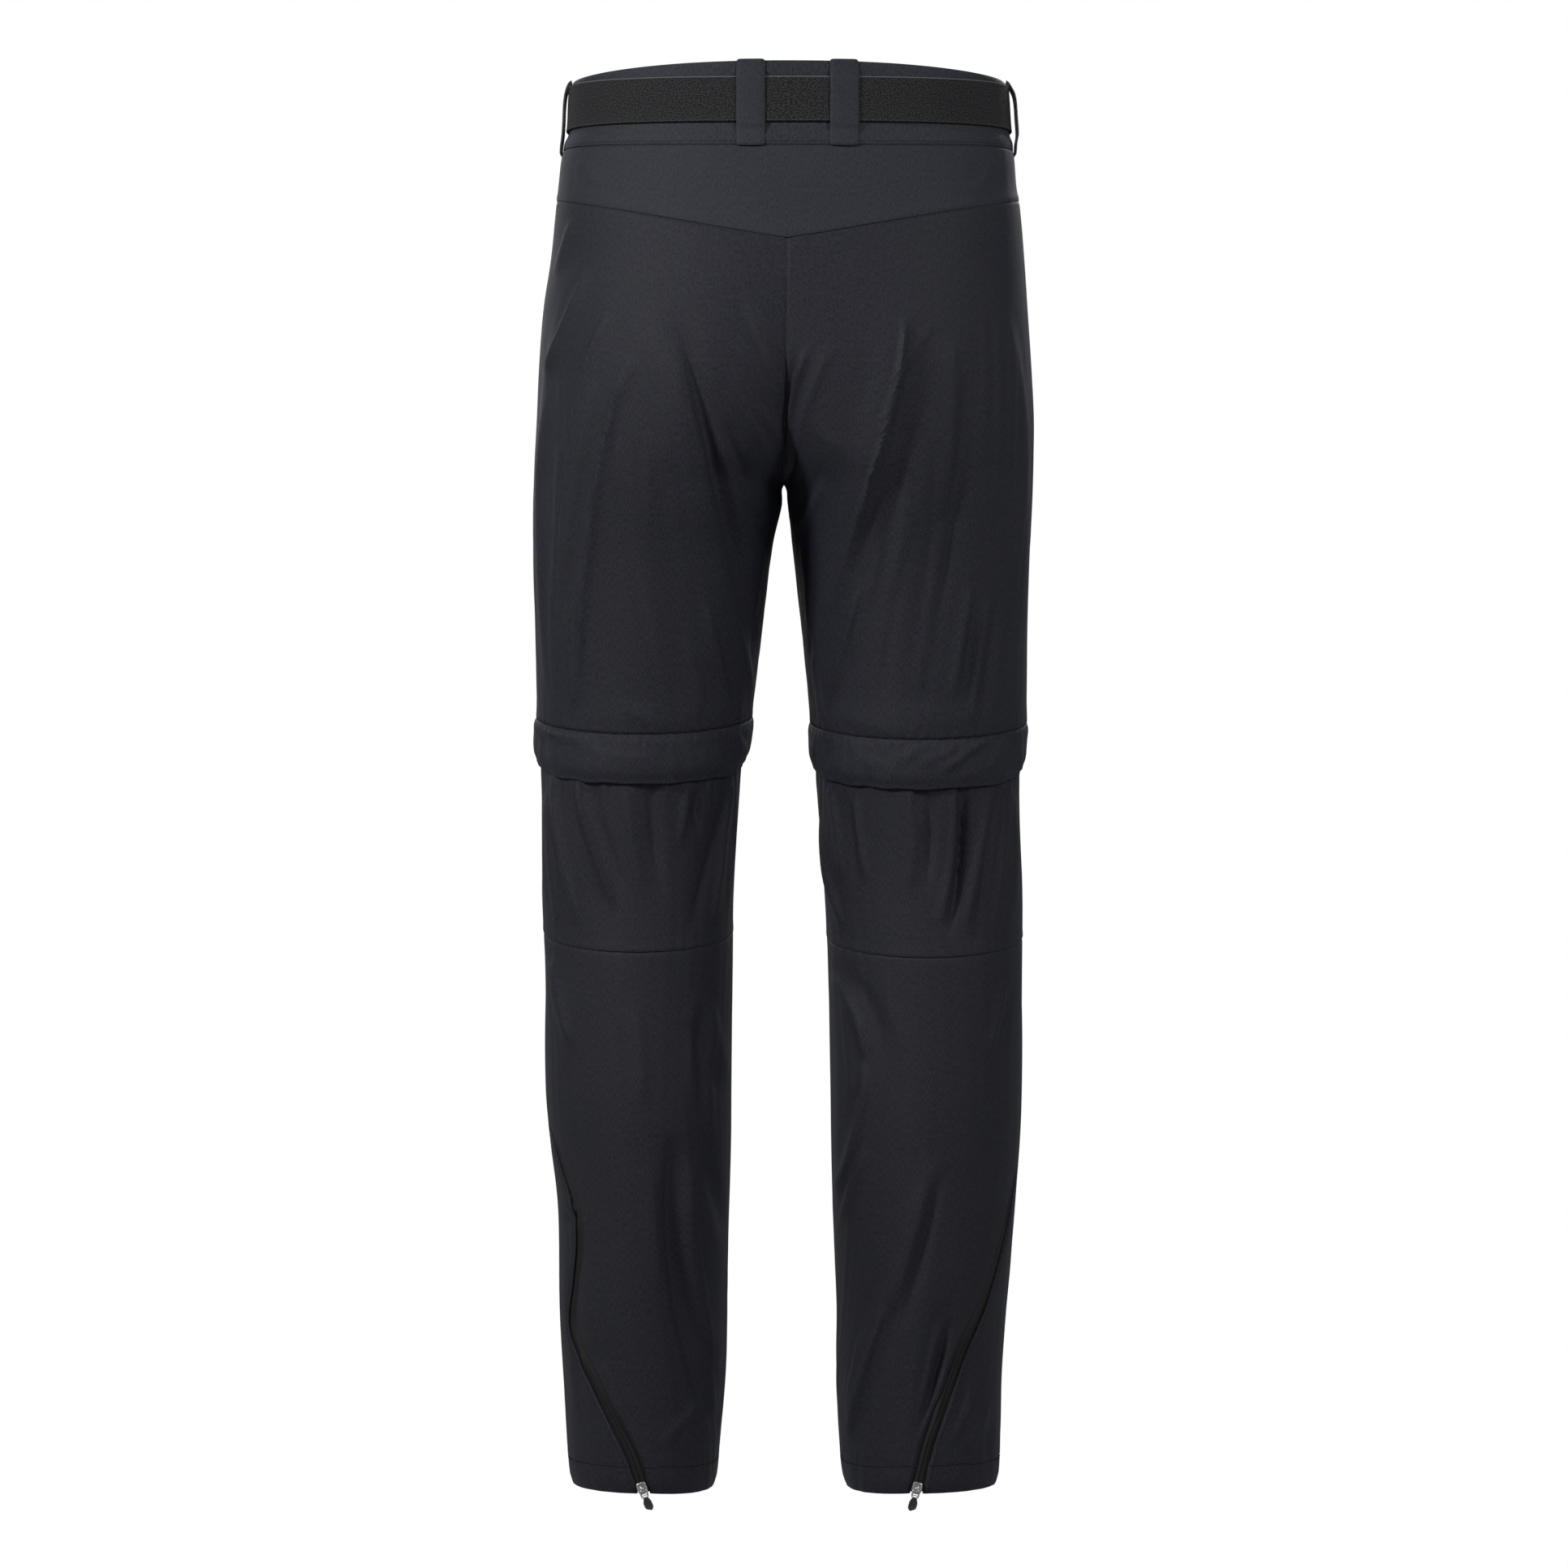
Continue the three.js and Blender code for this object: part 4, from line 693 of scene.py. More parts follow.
def graded(length, step, edge=(0.45, 1.0, 1.8, 3.0)):
    """Shares from 0 to 1 along that length: close together at both ends, and about a step apart
    between."""
    edge = np.array(edge)
    middle = np.linspace(edge[-1], length - edge[-1], max(2, round((length - 2 * edge[-1]) / step) + 1))[1:-1]
    return np.concatenate([[0], edge, middle, length - edge[::-1], [length]]) / length


def path_length(points, axis):
    """Distance run along a grid's rows or columns from the first one, in millimetres."""
    steps = np.linalg.norm(np.diff(points, axis=axis), axis=-1)
    return np.concatenate([np.zeros_like(np.take(steps, [0], axis)), np.cumsum(steps, axis)], axis)


def mesh_of(name, points, faces, material, uv=None, sharp=50):
    """A mesh object from places in millimetres and faces of their numbers. The faces are turned
    round where the volume that they close comes out below zero."""
    a, b, c, d = (points[faces[:, k]] for k in (0, 1, 2, -1))
    volume = (a * np.cross(b, c)).sum() + (a * np.cross(c, d)).sum()
    if volume < 0:
        faces = faces[:, ::-1]
    mesh = bpy.data.meshes.new(name)
    mesh.from_pydata((points * MM).tolist(), [], faces.tolist())
    if uv is not None:
        layer = mesh.uv_layers.new(name="cloth")
        corners = np.empty(len(mesh.loops), np.int32)
        mesh.loops.foreach_get("vertex_index", corners)
        layer.data.foreach_set("uv", (uv[corners] * MM).astype(np.float32).ravel())
    mesh.polygons.foreach_set("use_smooth", np.ones(len(mesh.polygons), bool))
    mesh.set_sharp_from_angle(angle=math.radians(sharp))
    mesh.materials.append(material)
    piece = bpy.data.objects.new(name, mesh)
    scene.collection.objects.link(piece)
    return piece


def wall_faces(rows, columns, ring=False, tube=False):
    """Quads of a closed wall: an outer grid, the inner grid that follows it in the list of places,
    and strips that join their edges. A ring's last column joins its first, and a tube's last row
    joins its first, with no inner grid."""
    grid = np.arange(rows * columns).reshape(rows, columns)
    if ring:
        grid = np.concatenate([grid, grid[:, :1]], 1)
    if tube:
        grid = np.concatenate([grid, grid[:1]], 0)
    outer = np.stack([grid[:-1, :-1], grid[:-1, 1:], grid[1:, 1:], grid[1:, :-1]], -1).reshape(-1, 4)
    if tube:
        return outer
    inside = rows * columns

    def strip(edge):
        return np.stack([edge[:-1], edge[:-1] + inside, edge[1:] + inside, edge[1:]], -1)

    faces = [outer, outer[:, ::-1] + inside, strip(grid[0]), strip(grid[-1])[:, ::-1]]
    if not ring:
        faces += [strip(grid[:, 0])[:, ::-1], strip(grid[:, -1])]
    return np.concatenate(faces)


def wall_piece(name, outer, inner, material, ring=False, uv=None):
    """A closed wall between two grids of places, with a UV map in metres: the distance run along
    the rows, and the height."""
    rows, columns = outer.shape[:2]
    if uv is None:
        uv = np.stack([path_length(outer, 1), outer[..., 2]], -1)
    points = np.concatenate([outer.reshape(-1, 3), inner.reshape(-1, 3)])
    uv = np.tile(uv.reshape(-1, 2), (2, 1))
    return mesh_of(name, points, wall_faces(rows, columns, ring), material, uv)


def dress(piece, node, body="trousers"):
    """The piece rides on that body and stands for the node, which it hides."""
    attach(piece, body)
    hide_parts(node)
    return piece


def shader_group(name, inputs, outputs):
    """An empty node group with those named number or vector inputs and outputs."""
    group = bpy.data.node_groups.new(name, "ShaderNodeTree")
    for label, kind in inputs:
        group.interface.new_socket(label, in_out="INPUT", socket_type=kind)
    for label, kind in outputs:
        group.interface.new_socket(label, in_out="OUTPUT", socket_type=kind)
    return group, group.nodes.new("NodeGroupInput"), group.nodes.new("NodeGroupOutput")


def add_node(tree, kind, settings=None, **inputs):
    """A node with its settings and its inputs, each of which is a value or another node's output."""
    node = tree.nodes.new(kind)
    for label, value in (settings or {}).items():
        setattr(node, label, value)
    for label, value in inputs.items():
        key = int(label[1:]) if label[0] == "i" and label[1:].isdigit() else label.replace("_", " ")
        if isinstance(value, bpy.types.NodeSocket):
            tree.links.new(value, node.inputs[key])
        else:
            node.inputs[key].default_value = value
    return node


def fine_weave():
    """Fine stretch weave: two sets of bands for the threads, a speckle of single threads, a crinkle
    of a few millimetres, and slow patches of tone. Place is the cloth's own map, in metres."""
    number, vector = "NodeSocketFloat", "NodeSocketVector"
    group, given, result = shader_group(
        "fine weave",
        [("Place", vector), ("Threads", number), ("Speckle", number), ("Crinkle", number)],
        [("Height", number), ("Tone", number)],
    )
    place = given.outputs["Place"]
    scaled = add_node(group, "ShaderNodeVectorMath", {"operation": "SCALE"}, i0=place)
    group.links.new(given.outputs["Threads"], scaled.inputs["Scale"])
    warp = add_node(group, "ShaderNodeTexWave", {"bands_direction": "X"}, Vector=scaled.outputs[0],
                    Scale=0.314)
    weft = add_node(group, "ShaderNodeTexWave", {"bands_direction": "Y"}, Vector=scaled.outputs[0],
                    Scale=0.314)
    cross = add_node(group, "ShaderNodeMath", {"operation": "MULTIPLY"}, i0=warp.outputs["Fac"],
                     i1=weft.outputs["Fac"])
    speckle = add_node(group, "ShaderNodeTexNoise", Vector=place, Scale=900.0, Detail=2.0, Roughness=0.85)
    slub_place = add_node(group, "ShaderNodeMapping", Vector=place, Scale=(1500.0, 300.0, 1.0))
    slub = add_node(group, "ShaderNodeTexNoise", Vector=slub_place.outputs[0], Scale=1.0, Detail=1.0)
    crinkle_place = add_node(group, "ShaderNodeMapping", Vector=place, Scale=(300.0, 70.0, 1.0))
    crinkle = add_node(group, "ShaderNodeTexNoise", Vector=crinkle_place.outputs[0], Scale=1.0, Detail=3.0)
    patch = add_node(group, "ShaderNodeTexNoise", Vector=place, Scale=14.0, Detail=2.0)
    grain = add_node(group, "ShaderNodeMath", {"operation": "MULTIPLY"}, i0=speckle.outputs["Fac"])
    group.links.new(given.outputs["Speckle"], grain.inputs[1])
    bend = add_node(group, "ShaderNodeMath", {"operation": "MULTIPLY"}, i0=crinkle.outputs["Fac"])
    group.links.new(given.outputs["Crinkle"], bend.inputs[1])
    low = add_node(group, "ShaderNodeMath", {"operation": "ADD"}, i0=cross.outputs[0], i1=grain.outputs[0])
    height = add_node(group, "ShaderNodeMath", {"operation": "ADD"}, i0=low.outputs[0], i1=bend.outputs[0])
    group.links.new(height.outputs[0], result.inputs["Height"])
    both = add_node(group, "ShaderNodeMath", {"operation": "ADD"}, i0=speckle.outputs["Fac"],
                    i1=slub.outputs["Fac"])
    spread = add_node(group, "ShaderNodeMapRange", Value=both.outputs[0])
    for label, value in (("From Min", 0.86), ("From Max", 1.14), ("To Min", -0.1), ("To Max", 0.9)):
        spread.inputs[label].default_value = value
    slow = add_node(group, "ShaderNodeMath", {"operation": "MULTIPLY"}, i0=patch.outputs["Fac"], i1=0.4)
    tone = add_node(group, "ShaderNodeMath", {"operation": "ADD", "use_clamp": True},
                    i0=spread.outputs[0], i1=slow.outputs[0])
    group.links.new(tone.outputs[0], result.inputs["Tone"])
    return group


FINE_WEAVE = fine_weave()


def bare_material(name, roughness, specular, metallic=0.0):
    """A material with those numbers on its own shader, and the nodes that the others are built on."""
    material = bpy.data.materials.new(name)
    material.use_nodes = True
    shader = material.node_tree.nodes["Principled BSDF"]
    shader.inputs["Roughness"].default_value = roughness
    shader.inputs["Specular IOR Level"].default_value = specular
    shader.inputs["Metallic"].default_value = metallic
    return material, material.node_tree, shader


def toned(tree, shader, tone, dark, light):
    """Base colour from dark to light as tone goes from 0 to 1."""
    ramp = tree.nodes.new("ShaderNodeValToRGB")
    ramp.color_ramp.elements[0].color = (*dark, 1)
    ramp.color_ramp.elements[1].color = (*light, 1)
    tree.links.new(tone, ramp.inputs["Fac"])
    tree.links.new(ramp.outputs["Color"], shader.inputs["Base Color"])


def raised(tree, shader, height, strength, distance):
    """Bump of that height, in metres, on the shader's normal."""
    bump = add_node(tree, "ShaderNodeBump", Height=height, Strength=strength, Distance=distance)
    tree.links.new(bump.outputs["Normal"], shader.inputs["Normal"])


def woven(name, dark, light, sheen, threads=2100.0, speckle=1.3, crinkle=2.6):
    """Smooth stretch weave with a slight sheen."""
    material, tree, shader = bare_material(name, 0.58, 0.22)
    shader.inputs["Sheen Weight"].default_value = sheen
    shader.inputs["Sheen Roughness"].default_value = 0.45
    shader.inputs["Sheen Tint"].default_value = (0.62, 0.72, 1.0, 1)
    place = tree.nodes.new("ShaderNodeTexCoord").outputs["UV"]
    weave = tree.nodes.new("ShaderNodeGroup")
    weave.node_tree = FINE_WEAVE
    tree.links.new(place, weave.inputs["Place"])
    weave.inputs["Threads"].default_value = threads
    weave.inputs["Speckle"].default_value = speckle
    weave.inputs["Crinkle"].default_value = crinkle
    toned(tree, shader, weave.outputs["Tone"], dark, light)
    raised(tree, shader, weave.outputs["Height"], 0.5, 0.00022)
    return material


THIGH_CLOTH = woven("thigh cloth", (0.0063, 0.0083, 0.0132), (0.0200, 0.0195, 0.0280), 0.02)
THREAD, thread_tree, thread_shader = bare_material("sewing thread", 0.75, 0.1)
strand = add_node(thread_tree, "ShaderNodeTexNoise", Scale=900.0, Detail=1.0)
thread_tree.links.new(thread_tree.nodes.new("ShaderNodeTexCoord").outputs["Object"], strand.inputs["Vector"])
toned(thread_tree, thread_shader, strand.outputs["Fac"], (0.0010, 0.0011, 0.0013), (0.0036, 0.0038, 0.0045))

BACK_STEP = (1.75, 4.2)
FRONT_STEP = (2.5, 4.8)
EDGE_REACH = 1.3


def leg_seam(z, facing):
    """A seam round a leg tilts down by RING_DIP towards the back: z - dip * sin(half turn * share)."""
    return lambda share: z - RING_DIP * facing * np.sin(math.pi * share)


def torso_seam(seam, facing):
    """Level of a torso seam: from the side's to the back's or front's as the square of the sine."""
    far = seam["back"] if facing > 0 else seam["front"]
    return lambda share: seam["side"] + (far - seam["side"]) * np.sin(share * math.pi / 2) ** 2


def yoke_seam(share):
    """Level at the side, then down to its point at centre back as the share to the power 1.5."""
    return YOKE_SIDE_Z + (YOKE_BACK_Z - YOKE_SIDE_Z) * share**1.5


ZIP_SHOWS = 9.5


def zip_half(leg, z):
    """Half the strip of hem zip that shows as an angle round the leg."""
    angle = leg.zip_angle(z)
    ends = leg.section(angle + 0.01, z) - leg.section(angle - 0.01, z)
    turn = np.linalg.norm(ends, axis=-1) / 0.02
    slope = (leg.zip_angle(z + 3) - leg.zip_angle(z - 3)) / 6 * turn
    opening = smooth_step(leg.zip_top - z, 0, 10)
    return np.where(z > leg.zip_top, 0, opening * ZIP_SHOWS * np.hypot(1, slope) / 2 / turn)


def seam_rolls(skin, dips):
    """Dip of the cloth towards each edge of a panel, where the seam pulls it in: the sum over the
    top, bottom, outer and inner edges of that edge's dip * exp(-(d / reach)^2), with a low ridge
    of 0.3 mm about 2 mm above the bottom edge."""
    down, across = path_length(skin, 0), path_length(skin, 1)
    edges = [down, down[-1:] - down, across, across[:, -1:] - across]
    dip = sum(dip * np.exp(-((edge / EDGE_REACH) ** 2)) for edge, dip in zip(edges, dips))
    return 0.3 * np.exp(-(((edges[1] - 2) / 1.6) ** 2)) - dip


def panel(name, leg, facing, top, bottom, downs, shares, material, bottom_gap=SEAM_GAP,
          dips=(0.7, 0.0, 0.9, 0.7), extra=None):
    """A panel between two seams. Its rows run from the outer side to the inner side of the leg. A
    place stands off the leg's section by its folds, a slow drape, its seams' rolls and what extra
    adds, and the inner skin lies a cloth's thickness behind. A panel with no gap below it ends in a
    hem, whose turned-up part makes the wall thicker inside."""
    edge = SEAM_GAP / 2
    share, down = np.meshgrid(shares, downs)
    upper, lower = top(share) - edge, bottom(share) + bottom_gap / 2
    z = upper + (lower - upper) * down
    start = facing * leg.zip_angle(z) + zip_half(leg, z) + edge / leg.back(z)
    end = leg.inner_angle(z) - np.where(z <= CROTCH_Z, edge / leg.back(z), 0)
    settled = leg.settled_angle(z)
    angle = facing * (start + (settled - start) * share + (end - settled) * share**6)
    skin, normal = leg.section(angle, z), leg.normal(angle, z)
    girth = angle * leg.back(z)
    lift = fold_lift(leg, angle, skin) + seam_rolls(skin, dips)
    loose = smooth_step(-z, 120, 300)
    lift = lift + 0.35 * loose * waves(girth, z, (31, 19, 12.5), 11 if leg is LEFT else 12)
    if extra is not None:
        lift = lift + extra(girth, z, upper - z, z - lower)
    outer = skin + normal * lift[..., None]
    wall = np.full(z.shape, CLOTH)
    if bottom_gap == 0:
        wall = wall + HEM_THICKER * smooth_step(lower + HEM_TURN - z, 0, 1.5)
    inner = outer - normal * wall[..., None]
    above = z > CROTCH_Z - 1
    nearest = leg.side * centre_plane(z) - edge
    for side in (outer, inner):
        side[..., 0] = np.where(above, leg.side * np.maximum(leg.side * side[..., 0], nearest), side[..., 0])
        side[:, -1, 0] = np.where(above, leg.side * nearest, side[..., 0])[:, -1]
    uv = np.stack([girth, skin[..., 2]], -1)
    return wall_piece(name, outer, inner, material, uv=uv), outer


def stitch_row(name, points, normals, pitch, length, radius, material, sink=0.1):
    """A row of sewn stitches along a line: one small closed capsule at each pitch, of that length
    and radius, half sunk in the cloth. Each is six-sided, with four rings and two pole points."""
    run = np.concatenate([[0], np.cumsum(np.linalg.norm(np.diff(points, axis=0), axis=1))])
    at = np.arange(pitch / 2, run[-1] - pitch / 2, pitch)
    centre = np.stack([np.interp(at, run, points[:, k]) for k in range(3)], -1)
    ahead = np.stack([np.interp(at + 0.6, run, points[:, k]) for k in range(3)], -1)
    behind = np.stack([np.interp(at - 0.6, run, points[:, k]) for k in range(3)], -1)
    along = ahead - behind
    along /= np.linalg.norm(along, axis=1, keepdims=True)
    out = np.stack([np.interp(at, run, normals[:, k]) for k in range(3)], -1)
    across = np.cross(out, along)
    across /= np.linalg.norm(across, axis=1, keepdims=True)
    out = np.cross(along, across)
    turn = np.arange(6) * math.pi / 3
    half = length / 2
    profile = [
        (-half, 0), (-0.8 * half, 0.72), (-0.3 * half, 1),
        (0.3 * half, 1), (0.8 * half, 0.72), (half, 0),
    ]
    rings = [np.array([[step, 0, 0]]) if not wide else
             np.stack([np.full(6, step), wide * radius * np.cos(turn), wide * radius * np.sin(turn)], -1)
             for step, wide in profile]
    shape = np.concatenate(rings)
    around = np.arange(6)
    after = (around + 1) % 6
    faces = [np.stack([np.zeros(6, int), 1 + after, 1 + around, 1 + around], -1)]
    for ring in range(3):
        low = 1 + 6 * ring
        faces.append(np.stack([low + around, low + after, low + 6 + after, low + 6 + around], -1))
    last = len(shape) - 1
    faces.append(np.stack([19 + around, 19 + after, np.full(6, last), np.full(6, last)], -1))
    faces = np.concatenate(faces)
    place = (
        centre[:, None] - out[:, None] * sink
        + along[:, None] * shape[None, :, :1]
        + across[:, None] * shape[None, :, 1:2]
        + out[:, None] * shape[None, :, 2:3]
    )
    faces = (faces[None] + (np.arange(len(at)) * len(shape))[:, None, None]).reshape(-1, 4)
    return capsules(name, place.reshape(-1, 3), faces, material)


def capsules(name, points, faces, material):
    """A mesh of quads and of triangles, which are the faces whose last two numbers are the same."""
    triangles = faces[:, 2] == faces[:, 3]
    lists = [face[:3] if three else face for face, three in zip(faces.tolist(), triangles)]
    mesh = bpy.data.meshes.new(name)
    mesh.from_pydata((points * MM).tolist(), [], lists)
    mesh.polygons.foreach_set("use_smooth", np.ones(len(mesh.polygons), bool))
    mesh.materials.append(material)
    piece = bpy.data.objects.new(name, mesh)
    scene.collection.objects.link(piece)
    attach(piece, "trousers")
    return piece


def flap_puckers(seed):
    """Short gathers above the flap's seam, down to a third of their height 11 mm up, and smaller
    ones below the top seam."""
    return lambda girth, z, below_top, above_bottom: (
        0.55 * waves(girth, z, (11.5, 7.9), seed) * np.exp(-((above_bottom / 11) ** 2))
        + 0.22 * waves(girth, z, (13, 9.1), seed + 1) * np.exp(-((below_top / 9) ** 2))
    )


THIGH_FLAT = {"back": (0.335, 0.405, 0.111), "front": (0.316, 0.43, 0.111)}
thigh_skins = {}
for leg in LEGS:
    for facing, face in ((1, "back"), (-1, "front")):
        step = BACK_STEP if facing > 0 else FRONT_STEP
        bottom_z = FLAP_SEAM_Z - leg.knee_drop
        top = yoke_seam if facing > 0 else torso_seam(WAIST_SEAM, -1)
        bottom = leg_seam(bottom_z, facing)
        crotch = (top(1.0) - CROTCH_Z) / (top(1.0) - bottom(1.0))
        length = top(0.5) - bottom(0.5)
        downs = graded(length, step[1])
        crotch_steps = np.array([-8, -5.5, -3.8, -2.5, -1.5, -0.8, -0.3, 0.3, 1.2, 2.6, 4.5, 7])
        near_crotch = crotch + crotch_steps / length
        downs = downs[np.abs(downs - crotch) > 8.5 / length]
        downs = np.sort(np.concatenate([downs, near_crotch]))
        piece, skin = panel(
            f"thigh_{face}_{leg.name}.cloth", leg, facing, top, bottom, downs,
            graded(265, step[0]), THIGH_CLOTH, extra=flap_puckers(21 if leg is LEFT else 22),
        )
        node = f"thigh_{face}_{leg.name}"
        dress(piece, node)
        width, height, area = THIGH_FLAT[face]
        thigh_skins[leg.name, face] = skin

# Stitches along the foot of each thigh, beside the knee flap's seam: pitch, length and radius in mm
FLAP_STITCH = (2.3, 1.5, 0.4)
for leg in LEGS:
    foot = np.concatenate([thigh_skins[leg.name, "back"][-3, 2:-2],
                           thigh_skins[leg.name, "front"][-3, 2:-2][::-1]])
    middle = foot.mean(0)
    outwards = (foot - middle) * [1, 1, 0]
    outwards /= np.linalg.norm(outwards, axis=1, keepdims=True)
    row = stitch_row(f"flap_stitches_{leg.name}", foot, outwards, *FLAP_STITCH, THREAD)


# Yoke
# One V-shaped piece of the same cloth across the seat, cut on another grain, so it looks a little
# lighter and bluer. It is sewn to the waistband above and to both back thighs below.
YOKE_CLOTH = woven("yoke cloth", (0.0106, 0.0134, 0.0197), (0.0268, 0.0275, 0.0368), 0.02, crinkle=1.2)

# Shallow creases at the yoke's two ends, places (x, z) in millimetres
YOKE_CREASES = [
    [(156, -50), (150, -60), (141, -78), 4, 1.1, 0.3],
    [(163, -60), (158, -72), (152, -84), 4, -0.9, 0.0],
    [(-154, -48), (-149, -58), (-143, -72), 4, 0.9, -0.3],
    [(-164, -52), (-160, -66), (-158, -78), 3.6, -0.7, 0.0],
    [(-60, -62), (0, -68), (70, -58), 14, 0.5, 0.0],
    [(-90, -86), (-40, -98), (0, -104), 10, -0.4, 0.0],
]


def ring_of_halves(halves):
    """Right and left grids of places that meet at the centre line, joined side by side."""
    right, left = halves
    return np.concatenate([right, left[:, ::-1][:, 1:]], 1)


yoke_shares = graded(205, 2.6)
yoke_downs = graded(62, 2.6)
skins, insides = [], []
for leg in (RIGHT, LEFT):
    share, down = np.meshgrid(yoke_shares, yoke_downs)
    upper = torso_seam(WAIST_SEAM, 1)(share) - SEAM_GAP / 2
    lower = yoke_seam(share) + SEAM_GAP / 2
    z = upper + (lower - upper) * down
    start = SEAM_GAP / 2 / leg.back(z)
    angle = start + (leg.inner_angle(z) - start) * share
    skin, normal = leg.section(angle, z), leg.normal(angle, z)
    girth = angle * leg.back(z)
    flat = skin[..., [0, 2]].reshape(-1, 2)
    creases = sum(crease_lift(flat, bent_line(a, b, c, True), *rest) for a, b, c, *rest in YOKE_CREASES)
    rise, fall = upper - z, z - lower
    side = path_length(skin, 1)
    lift = creases.reshape(z.shape)
    seam_dips = ((rise, 0.8), (fall, 0.15), (side, 0.8))
    dips = sum(dip * np.exp(-((edge / EDGE_REACH) ** 2)) for edge, dip in seam_dips)
    lift = lift - dips + 0.35 * np.exp(-(((fall - 2.6) / 2.2) ** 2))
    lift = lift + 0.16 * waves(leg.side * girth, z, (26, 15), 31)
    lift = lift + 0.14 * waves(leg.side * girth, z, (9, 6.7), 32) * np.exp(-((rise / 6) ** 2))
    skins.append(skin + normal * lift[..., None])
    insides.append(skins[-1] - normal * CLOTH)
outer, inner = ring_of_halves(skins), ring_of_halves(insides)
yoke = wall_piece("yoke_back.cloth", outer, inner, YOKE_CLOTH)
dress(yoke, "yoke_back")


# Waistband
# One folded band of the yoke's cloth, 63 mm high at the back. Its lower edge swells a little below
# the belt, and its top is a fold. It meets at centre front.
WAIST_TOP = {"side": 13, "back": 19, "front": 6}


def waist_ring(step):
    """Shares round the waist from centre front by the right side and the back to centre front, and
    the leg that each belongs to: below zero on the front, above on the back."""
    front = np.linspace(-1, 0, round(225 / step) + 1)
    back = np.linspace(0, 1, round(270 / step) + 1)
    share = np.concatenate([front, back[1:], back[::-1][1:], front[::-1][1:]])
    leg = np.concatenate([np.zeros(len(front) + len(back) - 1, int),
                          np.ones(len(front) + len(back) - 2, int)])
    return share, leg


def waist_place(share, leg_number, z, end_gap=SEAM_GAP / 2):
    """Places and normals of the section round the waist, cut back by end_gap at centre front."""
    place, normal = np.zeros((*z.shape, 3)), np.zeros((*z.shape, 3))
    girth = np.zeros(z.shape)
    for number, leg in enumerate((RIGHT, LEFT)):
        here = np.broadcast_to(leg_number == number, z.shape)
        s, level = np.broadcast_to(share, z.shape)[here], z[here]
        turn = np.abs(s) * leg.inner_angle(level)
        turn = turn - np.where(s <= -1, end_gap / leg.out(level), 0)
        angle = np.sign(s) * turn
        place[here], normal[here] = leg.section(angle, level), leg.normal(angle, level)
        girth[here] = leg.side * (math.pi / 2 - angle) * leg.back(level)
    return place, normal, girth


def torso_level(seam, share):
    """Level of a torso seam all round, whichever side of the side seam the share is on."""
    facing = np.sin(share * math.pi / 2)
    far = np.where(facing >= 0, seam["back"], seam["front"])
    return seam["side"] + (far - seam["side"]) * facing**2


ring_share, ring_leg = waist_ring(2.8)
downs = graded(60, 2.4, (0.5, 1.1, 2.0, 3.4))[:, None]
upper = torso_level(WAIST_TOP, ring_share)
lower = torso_level(WAIST_SEAM, ring_share) + SEAM_GAP / 2
z = upper + (lower - upper) * downs
place, normal, girth = waist_place(ring_share, ring_leg, z)
rise, fall = upper - z, z - lower
lift = -0.9 * np.exp(-((rise / 1.3) ** 2)) - 0.15 * np.exp(-((fall / 1.5) ** 2))
lift = lift + 0.95 * np.exp(-(((fall - 5.5) / 3.6) ** 2))
lift = lift + 0.1 * waves(girth, z, (14, 9, 6.3), 41) * smooth_step(12 - fall, 0, 6)
outer = place + normal * lift[..., None]
inner = place - normal * (CLOTH - 0.5 * np.exp(-((rise / 1.3) ** 2)))[..., None]
waistband = wall_piece("waistband.cloth", outer, inner, YOKE_CLOTH, uv=np.stack([girth, z], -1))
dress(waistband, "waistband")

# One row of small stitches along the waistband's lower edge
WAIST_STITCH = (2.1, 1.5, 0.24)
seam_line = outer[-4, 3:-3]
row = stitch_row("waist_seam_stitches", seam_line, normal[-4, 3:-3], *WAIST_STITCH, THREAD, sink=0.12)


# Fly
# A flat facing over centre front, rounded in at its lower end and held by two rows of stitches.
FLY_TOP, FLY_BOTTOM = -47.0, -205.0
down = graded(158, 3.0)[:, None]
across = graded(36, 2.2, (0.5, 1.1, 2.0))[None, :]
z = FLY_TOP + (FLY_BOTTOM - FLY_TOP) * down + 0 * across
fly_width = 4 + 32 * np.sqrt(np.maximum(0, 1 - down**5))
x = 3 + centre_plane(z) - fly_width * (1 - across)
place, normal = np.zeros((*z.shape, 3)), np.zeros((*z.shape, 3))
for leg, here in ((LEFT, x < centre_plane(z)), (RIGHT, x >= centre_plane(z))):
    angle = leg.angle_at(-1, x[here], z[here])
    place[here], normal[here] = leg.section(angle, z[here]), leg.normal(angle, z[here])
from_edge = np.minimum(fly_width * across, fly_width * (1 - across))
lift = 1.5 - 0.55 * np.exp(-((from_edge / 1.2) ** 2)) - 0.2 * np.exp(-(((fly_width * across - 4) / 1.1) ** 2))
outer = place + normal * lift[..., None]
inner = place + normal * 0.3
fly = wall_piece("fly_flap.cloth", outer, inner, THIGH_CLOTH, uv=np.stack([x, z], -1))
dress(fly, "fly_flap")
FLY_STITCH = (2.6, 1.9, 0.25)
for count, column in enumerate((3, 6)):
    row = stitch_row(f"fly_stitches_{count + 1}", outer[2:, column], normal[2:, column], *FLY_STITCH, THREAD)


